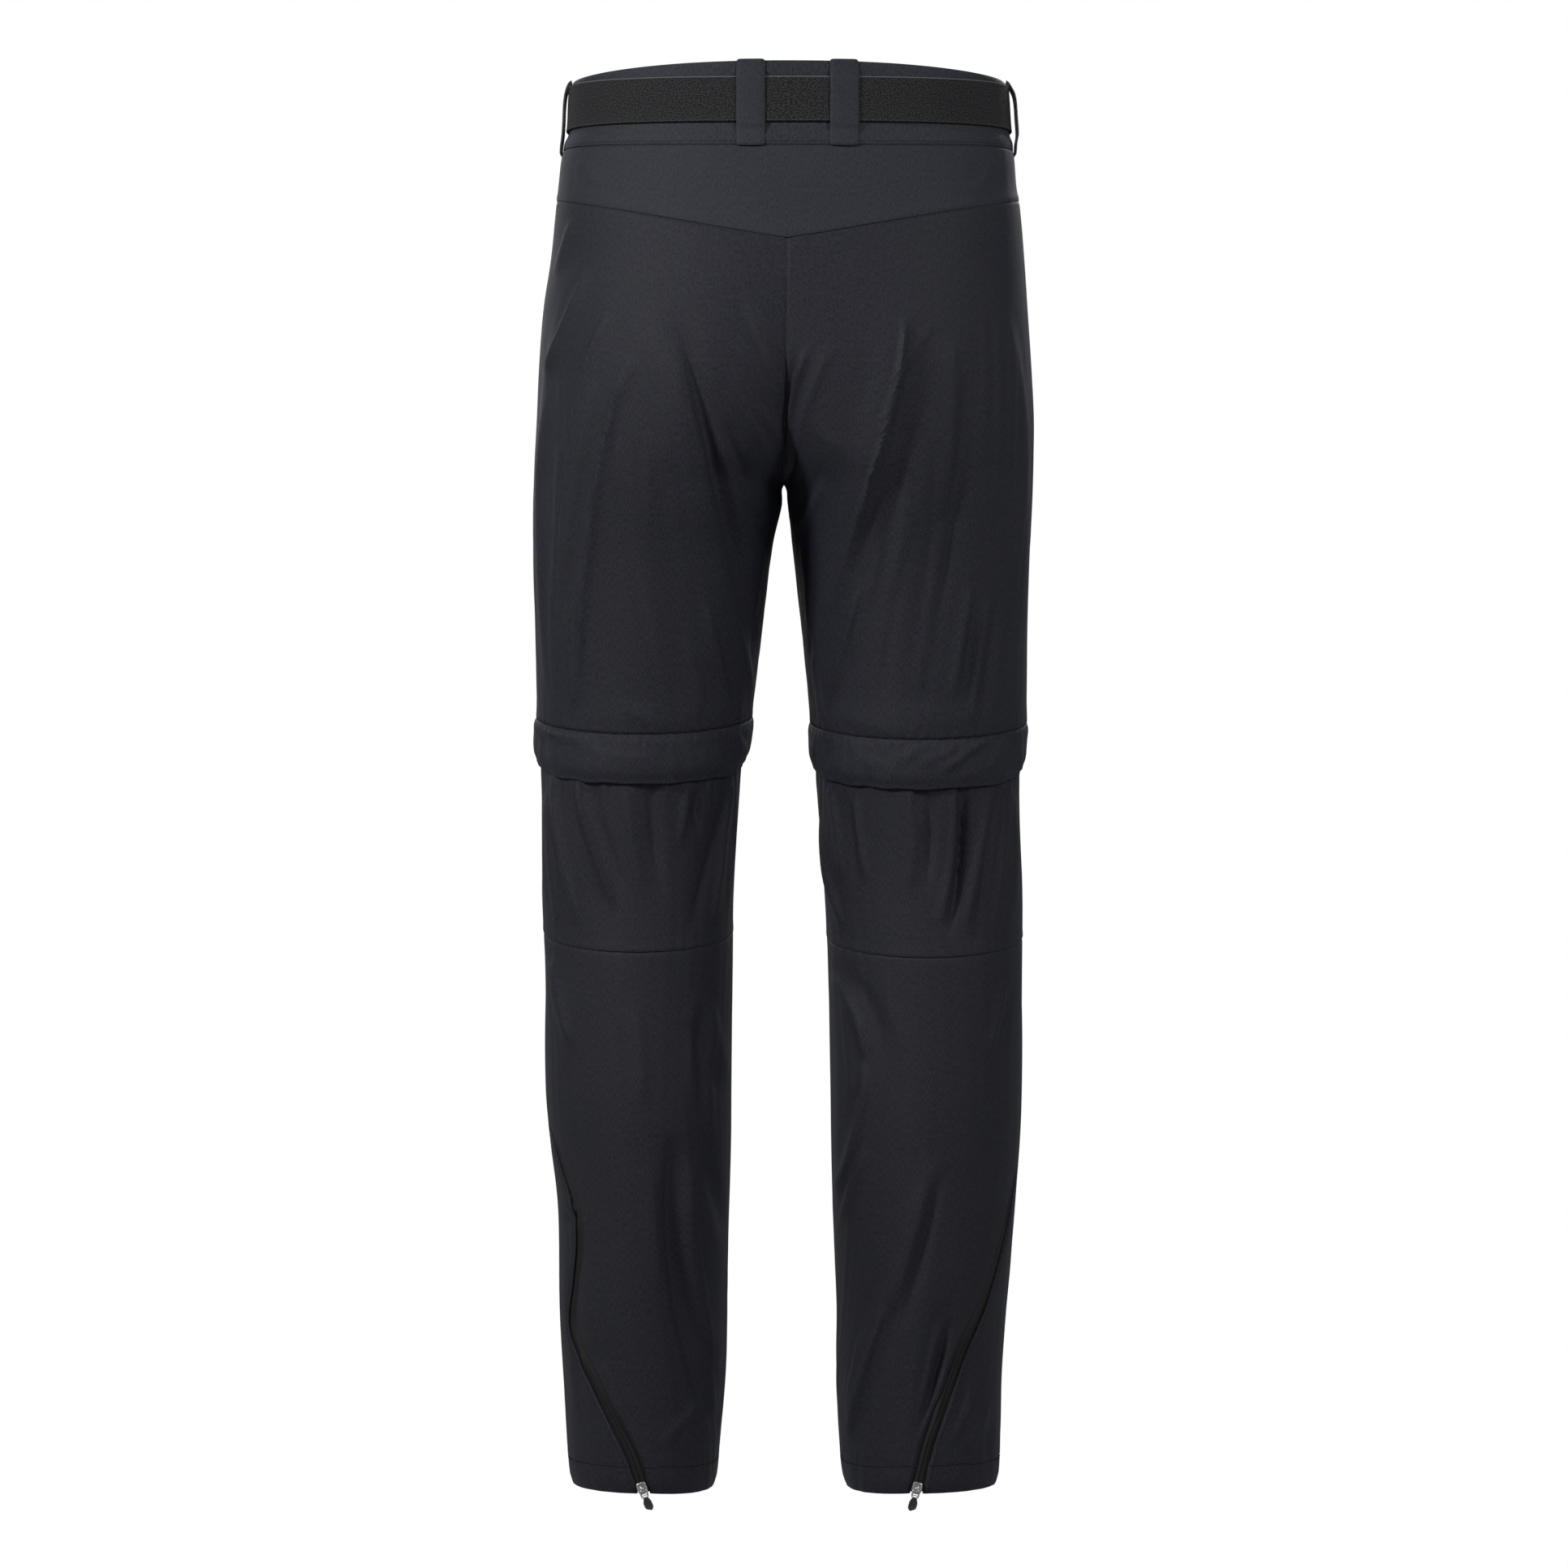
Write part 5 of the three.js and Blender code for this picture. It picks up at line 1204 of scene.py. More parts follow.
# Belt loops
# Six folded straps of the yoke's cloth, 21 mm wide, which pass over the belt. The ones at the
# sides bow out from it, so light shows between.
LOOP_HALF = 10.5
LOOP_THICK = 1.6
OVER_BELT = 2 * SEAM_GAP + 1.8
LOOP_OUTLINES = {
    "back": [
        [20, 0.3], [12, 0.5], [8.5, OVER_BELT], [-10, OVER_BELT + 0.3],
        [-28, OVER_BELT], [-33, 0.9], [-45, 0.4],
    ],
    "front": [
        [9, 0.3], [6.5, OVER_BELT + 0.3], [-12, OVER_BELT + 0.5],
        [-33, OVER_BELT + 0.3], [-37.5, 0.9], [-47, 0.4],
    ],
    "side_left": [[15, 0.3], [11.5, 2.2], [4, 3.8], [-12, 4.3], [-26, 3.9], [-33, 2.6], [-41, 0.4]],
    "side_right": [[15, 0.3], [11.5, 2.4], [4, 5.4], [-12, 6.0], [-26, 5.6], [-33, 3.0], [-41, 0.4]],
}


def belt_loop(name, leg, outline, angle_at, seed):
    """A strap whose underside follows the outline of height and stand-off, and whose outer face
    falls off to its long edges as the sixth power of the place across. Its ends are rounded."""
    top, bottom = outline[0][0], outline[-1][0]
    z = (top + (bottom - top) * graded(top - bottom, 1.9, (0.35, 0.8, 1.4, 2.2)))[:, None]
    across = graded(21, 1.5, (0.35, 0.9, 1.6))[None, :] * 2 - 1
    from_end = np.minimum(top - z, z - bottom)
    corner = 2.2
    tuck = corner - np.sqrt(np.maximum(corner**2 - np.maximum(corner - from_end, 0) ** 2, 0))
    half = LOOP_HALF - tuck
    z = z + 0 * across
    angle = angle_at(z, half * across)
    place, normal = leg.section(angle, z), leg.normal(angle, z)
    ripple = 0.12 * waves(across * 10, z, (17, 11), seed) * smooth_step(from_end, 1, 6)
    under = smooth_curve(outline, 1)(z) + ripple
    under = np.maximum(under, 0.3)
    edge = 1 - 0.55 * np.abs(across) ** 6
    outer = place + normal * (under + LOOP_THICK * edge
                              * (0.55 + 0.45 * smooth_step(from_end, -0.2, 1.5)))[..., None]
    inner = place + normal * (under + 0.25 * np.abs(across) ** 6)[..., None]
    piece = wall_piece(f"{name}.cloth", outer, inner, YOKE_CLOTH, uv=np.stack([half * across, z], -1))
    dress(piece, name)


for count, (leg, x) in enumerate(((LEFT, -27), (RIGHT, 42))):
    belt_loop(f"loop_back_{leg.name}", leg, LOOP_OUTLINES["back"],
              lambda z, across, leg=leg, x=x: leg.angle_at(1, x + across, z), 51 + count)
    belt_loop(f"loop_front_{leg.name}", leg, LOOP_OUTLINES["front"],
              lambda z, across, leg=leg: leg.angle_at(-1, leg.side * 80 + across, z), 53 + count)
    belt_loop(f"loop_side_{leg.name}", leg, LOOP_OUTLINES[f"side_{leg.name}"],
              lambda z, across, leg=leg: across / leg.back(z), 55 + count)


# Belt
# Black elastic webbing, 34 mm wide, with fine ribs along it and a lighter cord in its top edge. It
# passes under the loops, and its ends meet behind the buckle at centre front.
BELT_TOP = {"side": 10, "back": 7, "front": 3}
BELT_WIDTH = 34.0
BELT_THICK = 1.8
WEBBING, web_tree, web_shader = bare_material("elastic webbing", 0.82, 0.22)
web_place = web_tree.nodes.new("ShaderNodeTexCoord").outputs["UV"]
web_split = add_node(web_tree, "ShaderNodeSeparateXYZ", Vector=web_place)
web_ribs = add_node(web_tree, "ShaderNodeTexWave", {"bands_direction": "Y"}, Vector=web_place,
                    Scale=290.0, Distortion=0.6)
web_ribs.inputs["Detail Scale"].default_value = 700.0
web_picks = add_node(web_tree, "ShaderNodeMapping", Vector=web_place, Scale=(1250.0, 1050.0, 1.0))
web_speckle = add_node(web_tree, "ShaderNodeTexNoise", Vector=web_picks.outputs[0], Scale=1.0, Detail=2.0)
web_height = add_node(web_tree, "ShaderNodeMath", {"operation": "ADD"}, i0=web_ribs.outputs["Fac"],
                      i1=web_speckle.outputs["Fac"])
raised(web_tree, web_shader, web_height.outputs[0], 0.7, 0.0003)
web_tone = add_node(web_tree, "ShaderNodeMapRange", Value=web_speckle.outputs["Fac"])
for label, value in (("From Min", 0.43), ("From Max", 0.58)):
    web_tone.inputs[label].default_value = value
web_colours = web_tree.nodes.new("ShaderNodeValToRGB")
web_colours.color_ramp.elements[0].color = (0.0048, 0.0049, 0.0053, 1)
web_colours.color_ramp.elements[1].color = (0.0330, 0.0330, 0.0355, 1)
web_tree.links.new(web_tone.outputs[0], web_colours.inputs["Fac"])
web_edge = web_tree.nodes.new("ShaderNodeValToRGB")
edge_stops = ((0.0, 0.0), (0.025, 0.0), (0.033, 0.35), (0.042, 0.0), (0.968, 0.0), (0.980, 0.8), (1.0, 0.8))
while len(web_edge.color_ramp.elements) < len(edge_stops):
    web_edge.color_ramp.elements.new(0.5)
for stop, (at, level) in zip(web_edge.color_ramp.elements, edge_stops):
    stop.position, stop.color = at, (level, level, level, 1)
web_up = add_node(web_tree, "ShaderNodeMath", {"operation": "MULTIPLY"}, i0=web_split.outputs["Y"],
                  i1=1 / (BELT_WIDTH * MM))
web_tree.links.new(web_up.outputs[0], web_edge.inputs["Fac"])
web_mix = add_node(web_tree, "ShaderNodeMix", {"data_type": "RGBA"})
web_tree.links.new(web_edge.outputs["Color"], web_mix.inputs["Factor"])
web_tree.links.new(web_colours.outputs["Color"], web_mix.inputs["A"])
web_mix.inputs["B"].default_value = (0.105, 0.105, 0.11, 1)
web_tree.links.new(web_mix.outputs["Result"], web_shader.inputs["Base Color"])

ring_share, ring_leg = waist_ring(3.1)
across = graded(BELT_WIDTH, 1.5, (0.25, 0.6, 1.1, 1.8))[:, None]
upper = torso_level(BELT_TOP, ring_share)
z = upper - BELT_WIDTH * across
place, normal, girth = waist_place(ring_share, ring_leg, z)
from_edge = BELT_WIDTH * np.minimum(across, 1 - across)
bead = 0.18 * np.exp(-(((from_edge - 0.8) / 0.6) ** 2)) - 0.75 * np.exp(-((from_edge / 0.5) ** 2))
outer = place + normal * (SEAM_GAP + BELT_THICK + bead)[..., None]
inner = place + normal * (SEAM_GAP + 0.5 * np.exp(-((from_edge / 0.5) ** 2)))[..., None]
belt = wall_piece("belt.webbing", outer, inner, WEBBING,
                  uv=np.stack([girth, BELT_WIDTH * (1 - across) + 0 * z], -1))
dress(belt, "belt")


# Buckle
# A flat moulded plate with rounded corners over the belt's ends: a raised rim, a sunk middle and
# five grip ribs.
MOULDED, mould_tree, mould_shader = bare_material("matt moulded plastic", 0.5, 0.4)
mould_place = mould_tree.nodes.new("ShaderNodeTexCoord").outputs["Object"]
mould_grain = add_node(mould_tree, "ShaderNodeTexNoise", Vector=mould_place, Scale=1800.0, Detail=2.0)
toned(mould_tree, mould_shader, mould_grain.outputs["Fac"], (0.017, 0.016, 0.0165), (0.034, 0.0335, 0.0345))
raised(mould_tree, mould_shader, mould_grain.outputs["Fac"], 0.25, 0.0001)

BUCKLE_HALF = (23.0, 19.0)
BUCKLE_THICK = 4.0
turn = np.linspace(0, 2 * math.pi, 121)[None, :-1]
reach = np.concatenate([np.linspace(0.0, 0.84, 40), np.linspace(0.86, 1, 10)])[:, None]
BUCKLE_RIB_PITCH = 5.2
bx = BUCKLE_HALF[0] * reach * np.sign(np.cos(turn)) * np.abs(np.cos(turn)) ** 0.42
bz = BUCKLE_HALF[1] * reach * np.sign(np.sin(turn)) * np.abs(np.sin(turn)) ** 0.42
height = BUCKLE_THICK * (1 - 0.35 * smooth_step(reach, 0.955, 1.0) ** 2) + 0 * turn
height = height - 0.8 * smooth_step(-reach, -0.84, -0.79)
ribs = 0.42 * np.clip(np.cos(bx * 2 * math.pi / BUCKLE_RIB_PITCH), 0, 1) ** 2
ribs = ribs * smooth_step(-np.abs(bx), -13.5, -12.5)
height = height + ribs * smooth_step(-np.abs(bz), -11.5, -10.0)
face = RIGHT.front(BELT_TOP["front"] - BELT_WIDTH) + 2 * SEAM_GAP + BELT_THICK
middle_z = BELT_TOP["front"] - BELT_WIDTH / 2
outer = np.stack([bx, face + height, middle_z + bz], -1)
inner = np.stack([bx, face + 0 * height, middle_z + bz], -1)
points = np.concatenate([outer.reshape(-1, 3), inner.reshape(-1, 3)])
faces = wall_faces(*outer.shape[:2], ring=True)
buckle = mesh_of("belt_buckle.plate", points, faces, MOULDED, sharp=38)
mesh = buckle.data
plate = bmesh.new()
plate.from_mesh(mesh)
bmesh.ops.remove_doubles(plate, verts=plate.verts, dist=0.00001)
bmesh.ops.dissolve_degenerate(plate, edges=plate.edges, dist=0.00001)
plate.to_mesh(mesh)
plate.free()
dress(buckle, "belt_buckle")


# Knee zips and their covering flaps
# A zip joins each short leg to its lower leg. Over it hangs a flap of the thigh's cloth, folded
# double at its lower edge and sewn in at its top, so it stands off the leg like a cuff.
FLAP_DROP = 36.0
KNEE_ZIP_HEIGHT = 24.0
LEG_RADIUS = 90
TEETH_PITCH = 3.75
FLAP_STAND_OFF = [[0, 0], [0.12, 2], [0.3, 3.3], [0.62, 4.7], [1, 4.4]]

# Drag lines on the back of each flap, places on the picture
FLAP_DRAGS = {
    "left": [
        [(664, 884), (674, 896), (690, 906), 2.6, 0.9, 0.2],
        [(678, 886), (686, 900), (700, 914), 2.4, 0.8, 0.2],
        [(692, 892), (700, 902), (712, 912), 2.4, 0.6, 0.2],
        [(666, 900), (672, 915), (676, 930), 3, -0.6, 0.0],
        [(712, 912), (760, 930), (800, 934), 5, 0.5, 0.0],
        [(900, 900), (908, 918), (906, 938), 3.4, 0.9, 0.0],
        [(886, 906), (892, 925), (888, 948), 3.4, -0.6, 0.0],
        [(916, 896), (921, 912), (918, 932), 3, 0.8, 0.0],
        [(830, 912), (850, 935), (846, 958), 5, 0.4, 0.0],
        [(735, 902), (742, 918), (760, 936), 4, -0.4, 0.0],
    ],
    "right": [
        [(1214, 906), (1192, 928), (1158, 950), 3.4, 1.2, 0.3],
        [(1206, 918), (1186, 938), (1166, 956), 3.2, -0.8, 0.0],
        [(1180, 914), (1160, 930), (1130, 940), 3.4, 0.7, 0.2],
        [(1240, 900), (1230, 924), (1214, 948), 3.2, 1.0, 0.2],
        [(1250, 905), (1242, 926), (1232, 945), 3.2, -0.7, 0.0],
        [(1004, 902), (1010, 920), (1006, 940), 3.2, 0.8, 0.0],
        [(1016, 908), (1024, 926), (1020, 948), 3.2, -0.6, 0.0],
        [(1060, 916), (1072, 936), (1100, 946), 4.5, 0.5, 0.0],
        [(1102, 918), (1092, 940), (1088, 962), 4.5, -0.4, 0.0],
        [(1136, 916), (1122, 930), (1106, 936), 4, 0.6, 0.0],
    ],
}


def ring_angles(step, girth=285.0):
    """Angles round a whole leg, from the outer side by the back and the inner side, and the part of
    a half turn that each has run on its own face."""
    count = round(girth / step)
    share = np.concatenate([np.linspace(0, 1, count + 1)[:-1], np.linspace(1, 0, count + 1)[:-1]])
    facing = np.concatenate([np.ones(count), -np.ones(count)])
    return share, facing


for leg in LEGS:
    share, facing = ring_angles(2.0)
    angle = facing * math.pi * share
    seam = FLAP_SEAM_Z - leg.knee_drop - RING_DIP * facing * np.sin(math.pi * share) - SEAM_GAP / 2
    seed = 61 if leg is LEFT else 63
    out_down = np.array([0, 0.012, 0.03, 0.055, 0.085, 0.12, 0.16, 0.21, 0.26, 0.32, 0.38,
                         0.45, 0.52, 0.59, 0.66, 0.73, 0.8, 0.86, 0.91, 0.945, 0.97, 0.988])[:, None]
    around = angle * LEG_RADIUS
    sag = 1.1 * waves(around, seam, (70, 33), seed) - 4.5 * np.exp(-((np.sin(angle) / 0.33) ** 2))
    drop = FLAP_DROP + 0.2 + sag
    z = seam - drop * out_down
    swell = smooth_curve(FLAP_STAND_OFF, 1)(out_down)
    gather = 0.75 * waves(around, z, (10.5, 7.3), seed + 1) * np.exp(-(((out_down - 0.1) / 0.2) ** 2))
    stand = swell + gather + 0.9 * waves(around, z, (46, 27, 15), seed + 2) * smooth_step(out_down, 0.1, 0.6)
    stand = stand - 1.6 * smooth_step(out_down, 0.75, 1)
    place, normal = leg.section(angle, z), leg.normal(angle, z)
    flat = place[..., [0, 2]].reshape(-1, 2)
    back = (np.sin(angle) > 0).astype(float) * smooth_step(np.abs(np.sin(angle)), 0.05, 0.3)
    drags = sum(
        crease_lift(flat, bent_line(on_cloth(a), on_cloth(b), on_cloth(c), True), *rest)
        for a, b, c, *rest in FLAP_DRAGS[leg.name]
    ).reshape(z.shape)
    stand = stand + 1.7 * drags * back * smooth_step(out_down, 0.02, 0.15)
    top_ditch = 0.5 * np.abs(np.sin(angle)) * np.exp(-((out_down / 0.022) ** 2))
    stand = np.maximum(stand, 0.9 * smooth_step(out_down, 0, 0.03)) - top_ditch
    outside = place + normal * stand[..., None]
    # Down the outside, round the fold and up the inside again
    bottom_z = seam - drop
    fold_place, fold_normal = leg.section(angle, bottom_z), leg.normal(angle, bottom_z)
    low = stand[-1]
    rounds = []
    for turn in np.radians([20, 55, 90, 125, 160]):
        off = low - 1.35 + 1.35 * math.cos(turn)
        rounds.append(fold_place + fold_normal * off[:, None] + np.array([0, 0, -0.75 * math.sin(turn)]))
    in_down = out_down[::-1]
    thick = 1.25 + 1.45 * smooth_step(in_down, 0.35, 0.9)
    under = np.maximum(stand[::-1] - thick, -CLOTH + 0.1)
    inside = place[::-1] + normal[::-1] * under[..., None]
    tube = np.concatenate([outside, np.stack(rounds), inside])
    rows, columns = tube.shape[:2]
    uv = np.stack([np.broadcast_to(around, (rows, columns)), tube[..., 2]], -1)
    flap = mesh_of(f"zip_flap_{leg.name}.cloth", tube.reshape(-1, 3),
                   wall_faces(rows, columns, ring=True, tube=True),
                   THIGH_CLOTH, uv.reshape(-1, 2))
    dress(flap, f"zip_flap_{leg.name}")

TAPE, tape_tree, tape_shader = bare_material("woven zip tape", 0.66, 0.25)
tape_place = tape_tree.nodes.new("ShaderNodeTexCoord").outputs["UV"]
tape_twill = add_node(tape_tree, "ShaderNodeTexWave", {"bands_direction": "DIAGONAL"},
                      Vector=tape_place, Scale=420.0)
tape_speckle = add_node(tape_tree, "ShaderNodeTexNoise", Vector=tape_place, Scale=1500.0, Detail=2.0)
tape_height = add_node(tape_tree, "ShaderNodeMath", {"operation": "ADD"}, i0=tape_twill.outputs["Fac"],
                       i1=tape_speckle.outputs["Fac"])
raised(tape_tree, tape_shader, tape_height.outputs[0], 0.5, 0.0002)
toned(tape_tree, tape_shader, tape_speckle.outputs["Fac"], (0.0032, 0.0030, 0.0032), (0.0150, 0.0142, 0.0146))

for leg in LEGS:
    share, facing = ring_angles(1.9)
    angle = facing * math.pi * share
    seam = FLAP_SEAM_Z - leg.knee_drop - RING_DIP * facing * np.sin(math.pi * share)
    middle = KNEE_ZIP_HEIGHT / 2
    drop = np.array([-4, -2, 1, 4, 7, 8.6, 9.6, 10.3, 11, 11.6, 12, 12.4, 13, 13.7, 14.4, 15.4, 17, 20,
                     23, 26, 28])[:, None]
    z = seam - drop
    place, normal = leg.section(angle, z), leg.normal(angle, z)
    teeth = 0.5 + 0.5 * np.cos(angle * LEG_RADIUS * 2 * math.pi / TEETH_PITCH)
    coil_swell = (1.15 + 0.45 * teeth) * np.exp(-(((drop - middle) / 2.1) ** 4))
    coil = coil_swell - 0.7 * np.exp(-(((drop - middle) / 0.35) ** 2))
    face = fold_lift(leg, angle + 0 * z, place) - CLOTH - 3 * SEAM_GAP
    outer = place + normal * (face + coil)[..., None]
    inner = place + normal * (face - 1)[..., None]
    around = np.broadcast_to(angle * LEG_RADIUS, z.shape)
    knee_zip = wall_piece(f"knee_zip_{leg.name}.tape", outer, inner, TAPE, ring=True,
                          uv=np.stack([around, z], -1))
    dress(knee_zip, f"knee_zip_{leg.name}")


# Knee panels
# The first piece of each lower leg, from the knee zip down to the knee seam, front and back, in
# the same stretch weave. Soft folds run down it from the zip.
KNEE_SEAM_Z = -628.0
# The thighs' cloth with its colours about a tenth darker: painted shade, for the weaker light on the lower
# legs.
SHADED_LEG_CLOTH = woven("lower leg cloth", (0.0057, 0.0074, 0.0113), (0.0186, 0.0180, 0.0250), 0.02)


def zip_gathers(seed):
    """Gathers below the knee zip, down to a third of their height 34 mm below it, and small ones
    above the knee seam."""
    return lambda girth, z, below_top, above_bottom: (
        1.3 * waves(girth, z, (17, 11.5, 8.3), seed) * np.exp(-((below_top / 34) ** 2))
        + 0.25 * waves(girth, z, (12, 8.4), seed + 1) * np.exp(-((above_bottom / 9) ** 2))
    )


for leg in LEGS:
    for facing, face in ((1, "back"), (-1, "front")):
        step = BACK_STEP if facing > 0 else FRONT_STEP
        top = leg_seam(FLAP_SEAM_Z - KNEE_ZIP_HEIGHT - leg.knee_drop, facing)
        bottom = leg_seam(KNEE_SEAM_Z - leg.knee_drop, facing)
        piece, skin = panel(
            f"knee_{face}_{leg.name}.cloth", leg, facing, top, bottom, graded(138, step[1]),
            graded(255, step[0]), SHADED_LEG_CLOTH, extra=zip_gathers(71 if leg is LEFT else 73),
        )
        dress(piece, f"knee_{face}_{leg.name}")


# Calf and shin panels
# The rest of each lower leg, cut along the line of the hem zip, with a hem turned up 21 mm inside
# and sewn down.
HEM_Z = -1047.0
LOWER_LENGTH = 418
PANEL_FLAT = {"back": (0.25, 0.425, 0.078), "front": (0.298, 0.425, 0.108)}
HEM_STITCH = (2.4, 1.4, 0.46)
ZIP_STITCH = (2.4, 1.7, 0.24)
lower_skins = {}


def hem_pull(seed):
    """The hem's stitches sink the cloth in a line, with small puckers across it, and the knee seam
    above gathers it a little."""
    return lambda girth, z, below_top, above_bottom: (
        -0.15 * np.exp(-(((above_bottom - HEM_TURN) / 1.5) ** 2)) - 1.8 * np.exp(-((above_bottom / 4.5) ** 2))
        + 0.4 * waves(girth, z, (9.5, 6.8), seed) * np.exp(-(((above_bottom - HEM_TURN) / 7) ** 2))
        + 0.35 * waves(girth, z, (24, 15), seed + 1) * np.exp(-((above_bottom / 30) ** 2))
        + 0.2 * waves(girth, z, (12, 8.4), seed + 2) * np.exp(-((below_top / 8) ** 2))
    )


for leg in LEGS:
    for facing, face, node in ((1, "back", "calf_back"), (-1, "front", "shin_front")):
        step = BACK_STEP if facing > 0 else (2.6, 4.8)
        top = leg_seam(KNEE_SEAM_Z - leg.knee_drop, facing)
        bottom = lambda share, facing=facing: HEM_Z - 1.5 * facing * np.sin(math.pi * share)
        downs = graded(LOWER_LENGTH, step[1])
        hem_rows = 1 - (HEM_TURN + np.array([-2.6, -1.2, 0, 1.2, 2.6])) / LOWER_LENGTH
        away_from_hem = np.abs(downs - hem_rows[2]) > 4.4 / LOWER_LENGTH
        downs = np.sort(np.concatenate([downs[away_from_hem], hem_rows]))
        piece, skin = panel(
            f"{node}_{leg.name}.cloth", leg, facing, top, bottom, downs,
            graded(258, step[0]), SHADED_LEG_CLOTH, bottom_gap=0, extra=hem_pull(81 if leg is LEFT else 84),
        )
        dress(piece, f"{node}_{leg.name}")
        width, height, area = PANEL_FLAT[face]
        lower_skins[leg.name, face] = skin


def outwards_of(leg, line):
    """Unit directions from the leg's middle line to places on its cloth, level."""
    middle = leg.side * (leg.out(line[:, 2]) + leg.inner(line[:, 2])) / 2
    away = np.stack([line[:, 0] - middle, line[:, 1] * 1.6, np.zeros(len(line))], -1)
    return away / np.linalg.norm(away, axis=1, keepdims=True)


for leg in LEGS:
    for face in ("back", "front"):
        skin = lower_skins[leg.name, face]
        from_hem = path_length(skin[::-1], 0)[::-1]
        level = np.abs(from_hem - HEM_TURN).argmin(0)
        line = skin[level, np.arange(skin.shape[1])].copy()
        line = line[2:-2]
        row = stitch_row(f"hem_stitches_{face}_{leg.name}", line, outwards_of(leg, line), *HEM_STITCH, THREAD)
        edge = skin[np.abs(skin[:, 4, 2][:, None] - (leg.zip_top - 4)).argmin() :, 4]
        row = stitch_row(f"zip_stitches_{face}_{leg.name}", edge[:-1], outwards_of(leg, edge[:-1]),
                         *ZIP_STITCH, THREAD)


# Hem zips
# A reversed coil zip from the hem up the outer side of each lower leg: two woven tapes whose closed
# edges meet in a groove, with the coil's ribs pressing through beside it.
ZIP_DEPTH = 2.4
ZIP_SHOWS_HALF = ZIP_SHOWS / 2
ZIP_TAPE_HALF = 7.75
COIL_PITCH = 1.8
for leg in LEGS:
    z = np.linspace(leg.zip_top - 5, HEM_Z + 1.5, round((leg.zip_top - HEM_Z) / 0.9))[:, None]
    half = zip_half(leg, z)
    per_mm = zip_half(leg, np.minimum(z, leg.zip_top - 13)) / ZIP_SHOWS_HALF
    share = np.array([-1, -0.8, -0.62, -0.5, -0.42, -0.34, -0.26, -0.18, -0.11, -0.06, -0.02, 0,
                      0.02, 0.06, 0.11, 0.18, 0.26, 0.34, 0.42, 0.5, 0.62, 0.8, 1])[None, :]
    across = share * ZIP_TAPE_HALF
    hidden = np.sign(across) * (half + (np.abs(across) - ZIP_SHOWS_HALF) * per_mm)
    angle = leg.zip_angle(z) + np.where(np.abs(across) > ZIP_SHOWS_HALF, hidden, across * per_mm)
    place, normal = leg.section(angle, z), leg.normal(angle, z)
    run = path_length(place, 0)[:, 11:12]
    ribs = 0.13 * np.cos(run * 2 * math.pi / COIL_PITCH + np.sign(across) * 0.8)
    swell = 1.15 * np.exp(-((across / 2.9) ** 4)) * smooth_step(run, 0, 4)
    groove = 0.75 * np.exp(-((across / 0.32) ** 2))
    lift = swell + ribs * np.exp(-(((np.abs(across) - 1.5) / 1.1) ** 2)) - groove
    face = fold_lift(leg, angle, place) - ZIP_DEPTH
    outer = place + normal * (face + lift + 0.1)[..., None]
    inner = place + normal * (face - 0.9)[..., None]
    leg_zip = wall_piece(f"leg_zip_{leg.name}.tape", outer, inner, TAPE,
                         uv=np.stack([across + 0 * z, -run + 0 * across], -1))
    dress(leg_zip, f"leg_zip_{leg.name}")


# Zip sliders and their pulls
# Nickel-plated die-cast sliders at the hem. A crown on each holds a flat ring link, and the link
# carries a small dark moulded grip with a slanted end and a knurled edge. The pulls swing.
METAL, metal_tree, metal_shader = bare_material("plated zinc", 0.3, 0.5, 1.0)
metal_place = metal_tree.nodes.new("ShaderNodeTexCoord").outputs["Object"]
metal_marks = add_node(metal_tree, "ShaderNodeTexNoise", Vector=metal_place, Scale=700.0, Detail=3.0)
toned(metal_tree, metal_shader, metal_marks.outputs["Fac"], (0.40, 0.395, 0.385), (0.68, 0.67, 0.66))
metal_rough = add_node(metal_tree, "ShaderNodeMapRange", Value=metal_marks.outputs["Fac"])
metal_rough.inputs["To Min"].default_value = 0.22
metal_rough.inputs["To Max"].default_value = 0.42
metal_tree.links.new(metal_rough.outputs[0], metal_shader.inputs["Roughness"])
raised(metal_tree, metal_shader, metal_marks.outputs["Fac"], 0.12, 0.0001)


SLIDER_SINK, SLIDER_THICK, CROWN_AXIS = -1.7, 3, 0.95


def slider_frame(leg):
    """Origin on the pull's axis and three directions: across the zip, up along it, and outwards."""
    z = HEM_Z + 2.8
    foot = leg.section(leg.zip_angle(z), z)
    uphill = leg.section(leg.zip_angle(z + 40), z + 40) - foot
    uphill[1] = 0
    uphill /= np.linalg.norm(uphill)
    outwards = np.array([0.0, -1.0, 0.0])
    stand = SLIDER_SINK + SLIDER_THICK + CROWN_AXIS
    return foot + outwards * stand, np.stack([np.cross(uphill, outwards), uphill, outwards])


def in_frame(place, points):
    """Places given across, up and outwards from the pull's axis, in the object's own frame."""
    origin, basis = place
    return origin + points @ basis


def layered(outline, layers):
    """A closed solid of one outline, (n, 2), at each layer of (outwards, scale), with its two ends
    closed to a point at the outline's middle."""
    middle = outline.mean(0)
    return np.stack([
        np.concatenate([middle + (outline - middle) * scale, np.full((len(outline), 1), out)], 1)
        for out, scale in layers
    ])


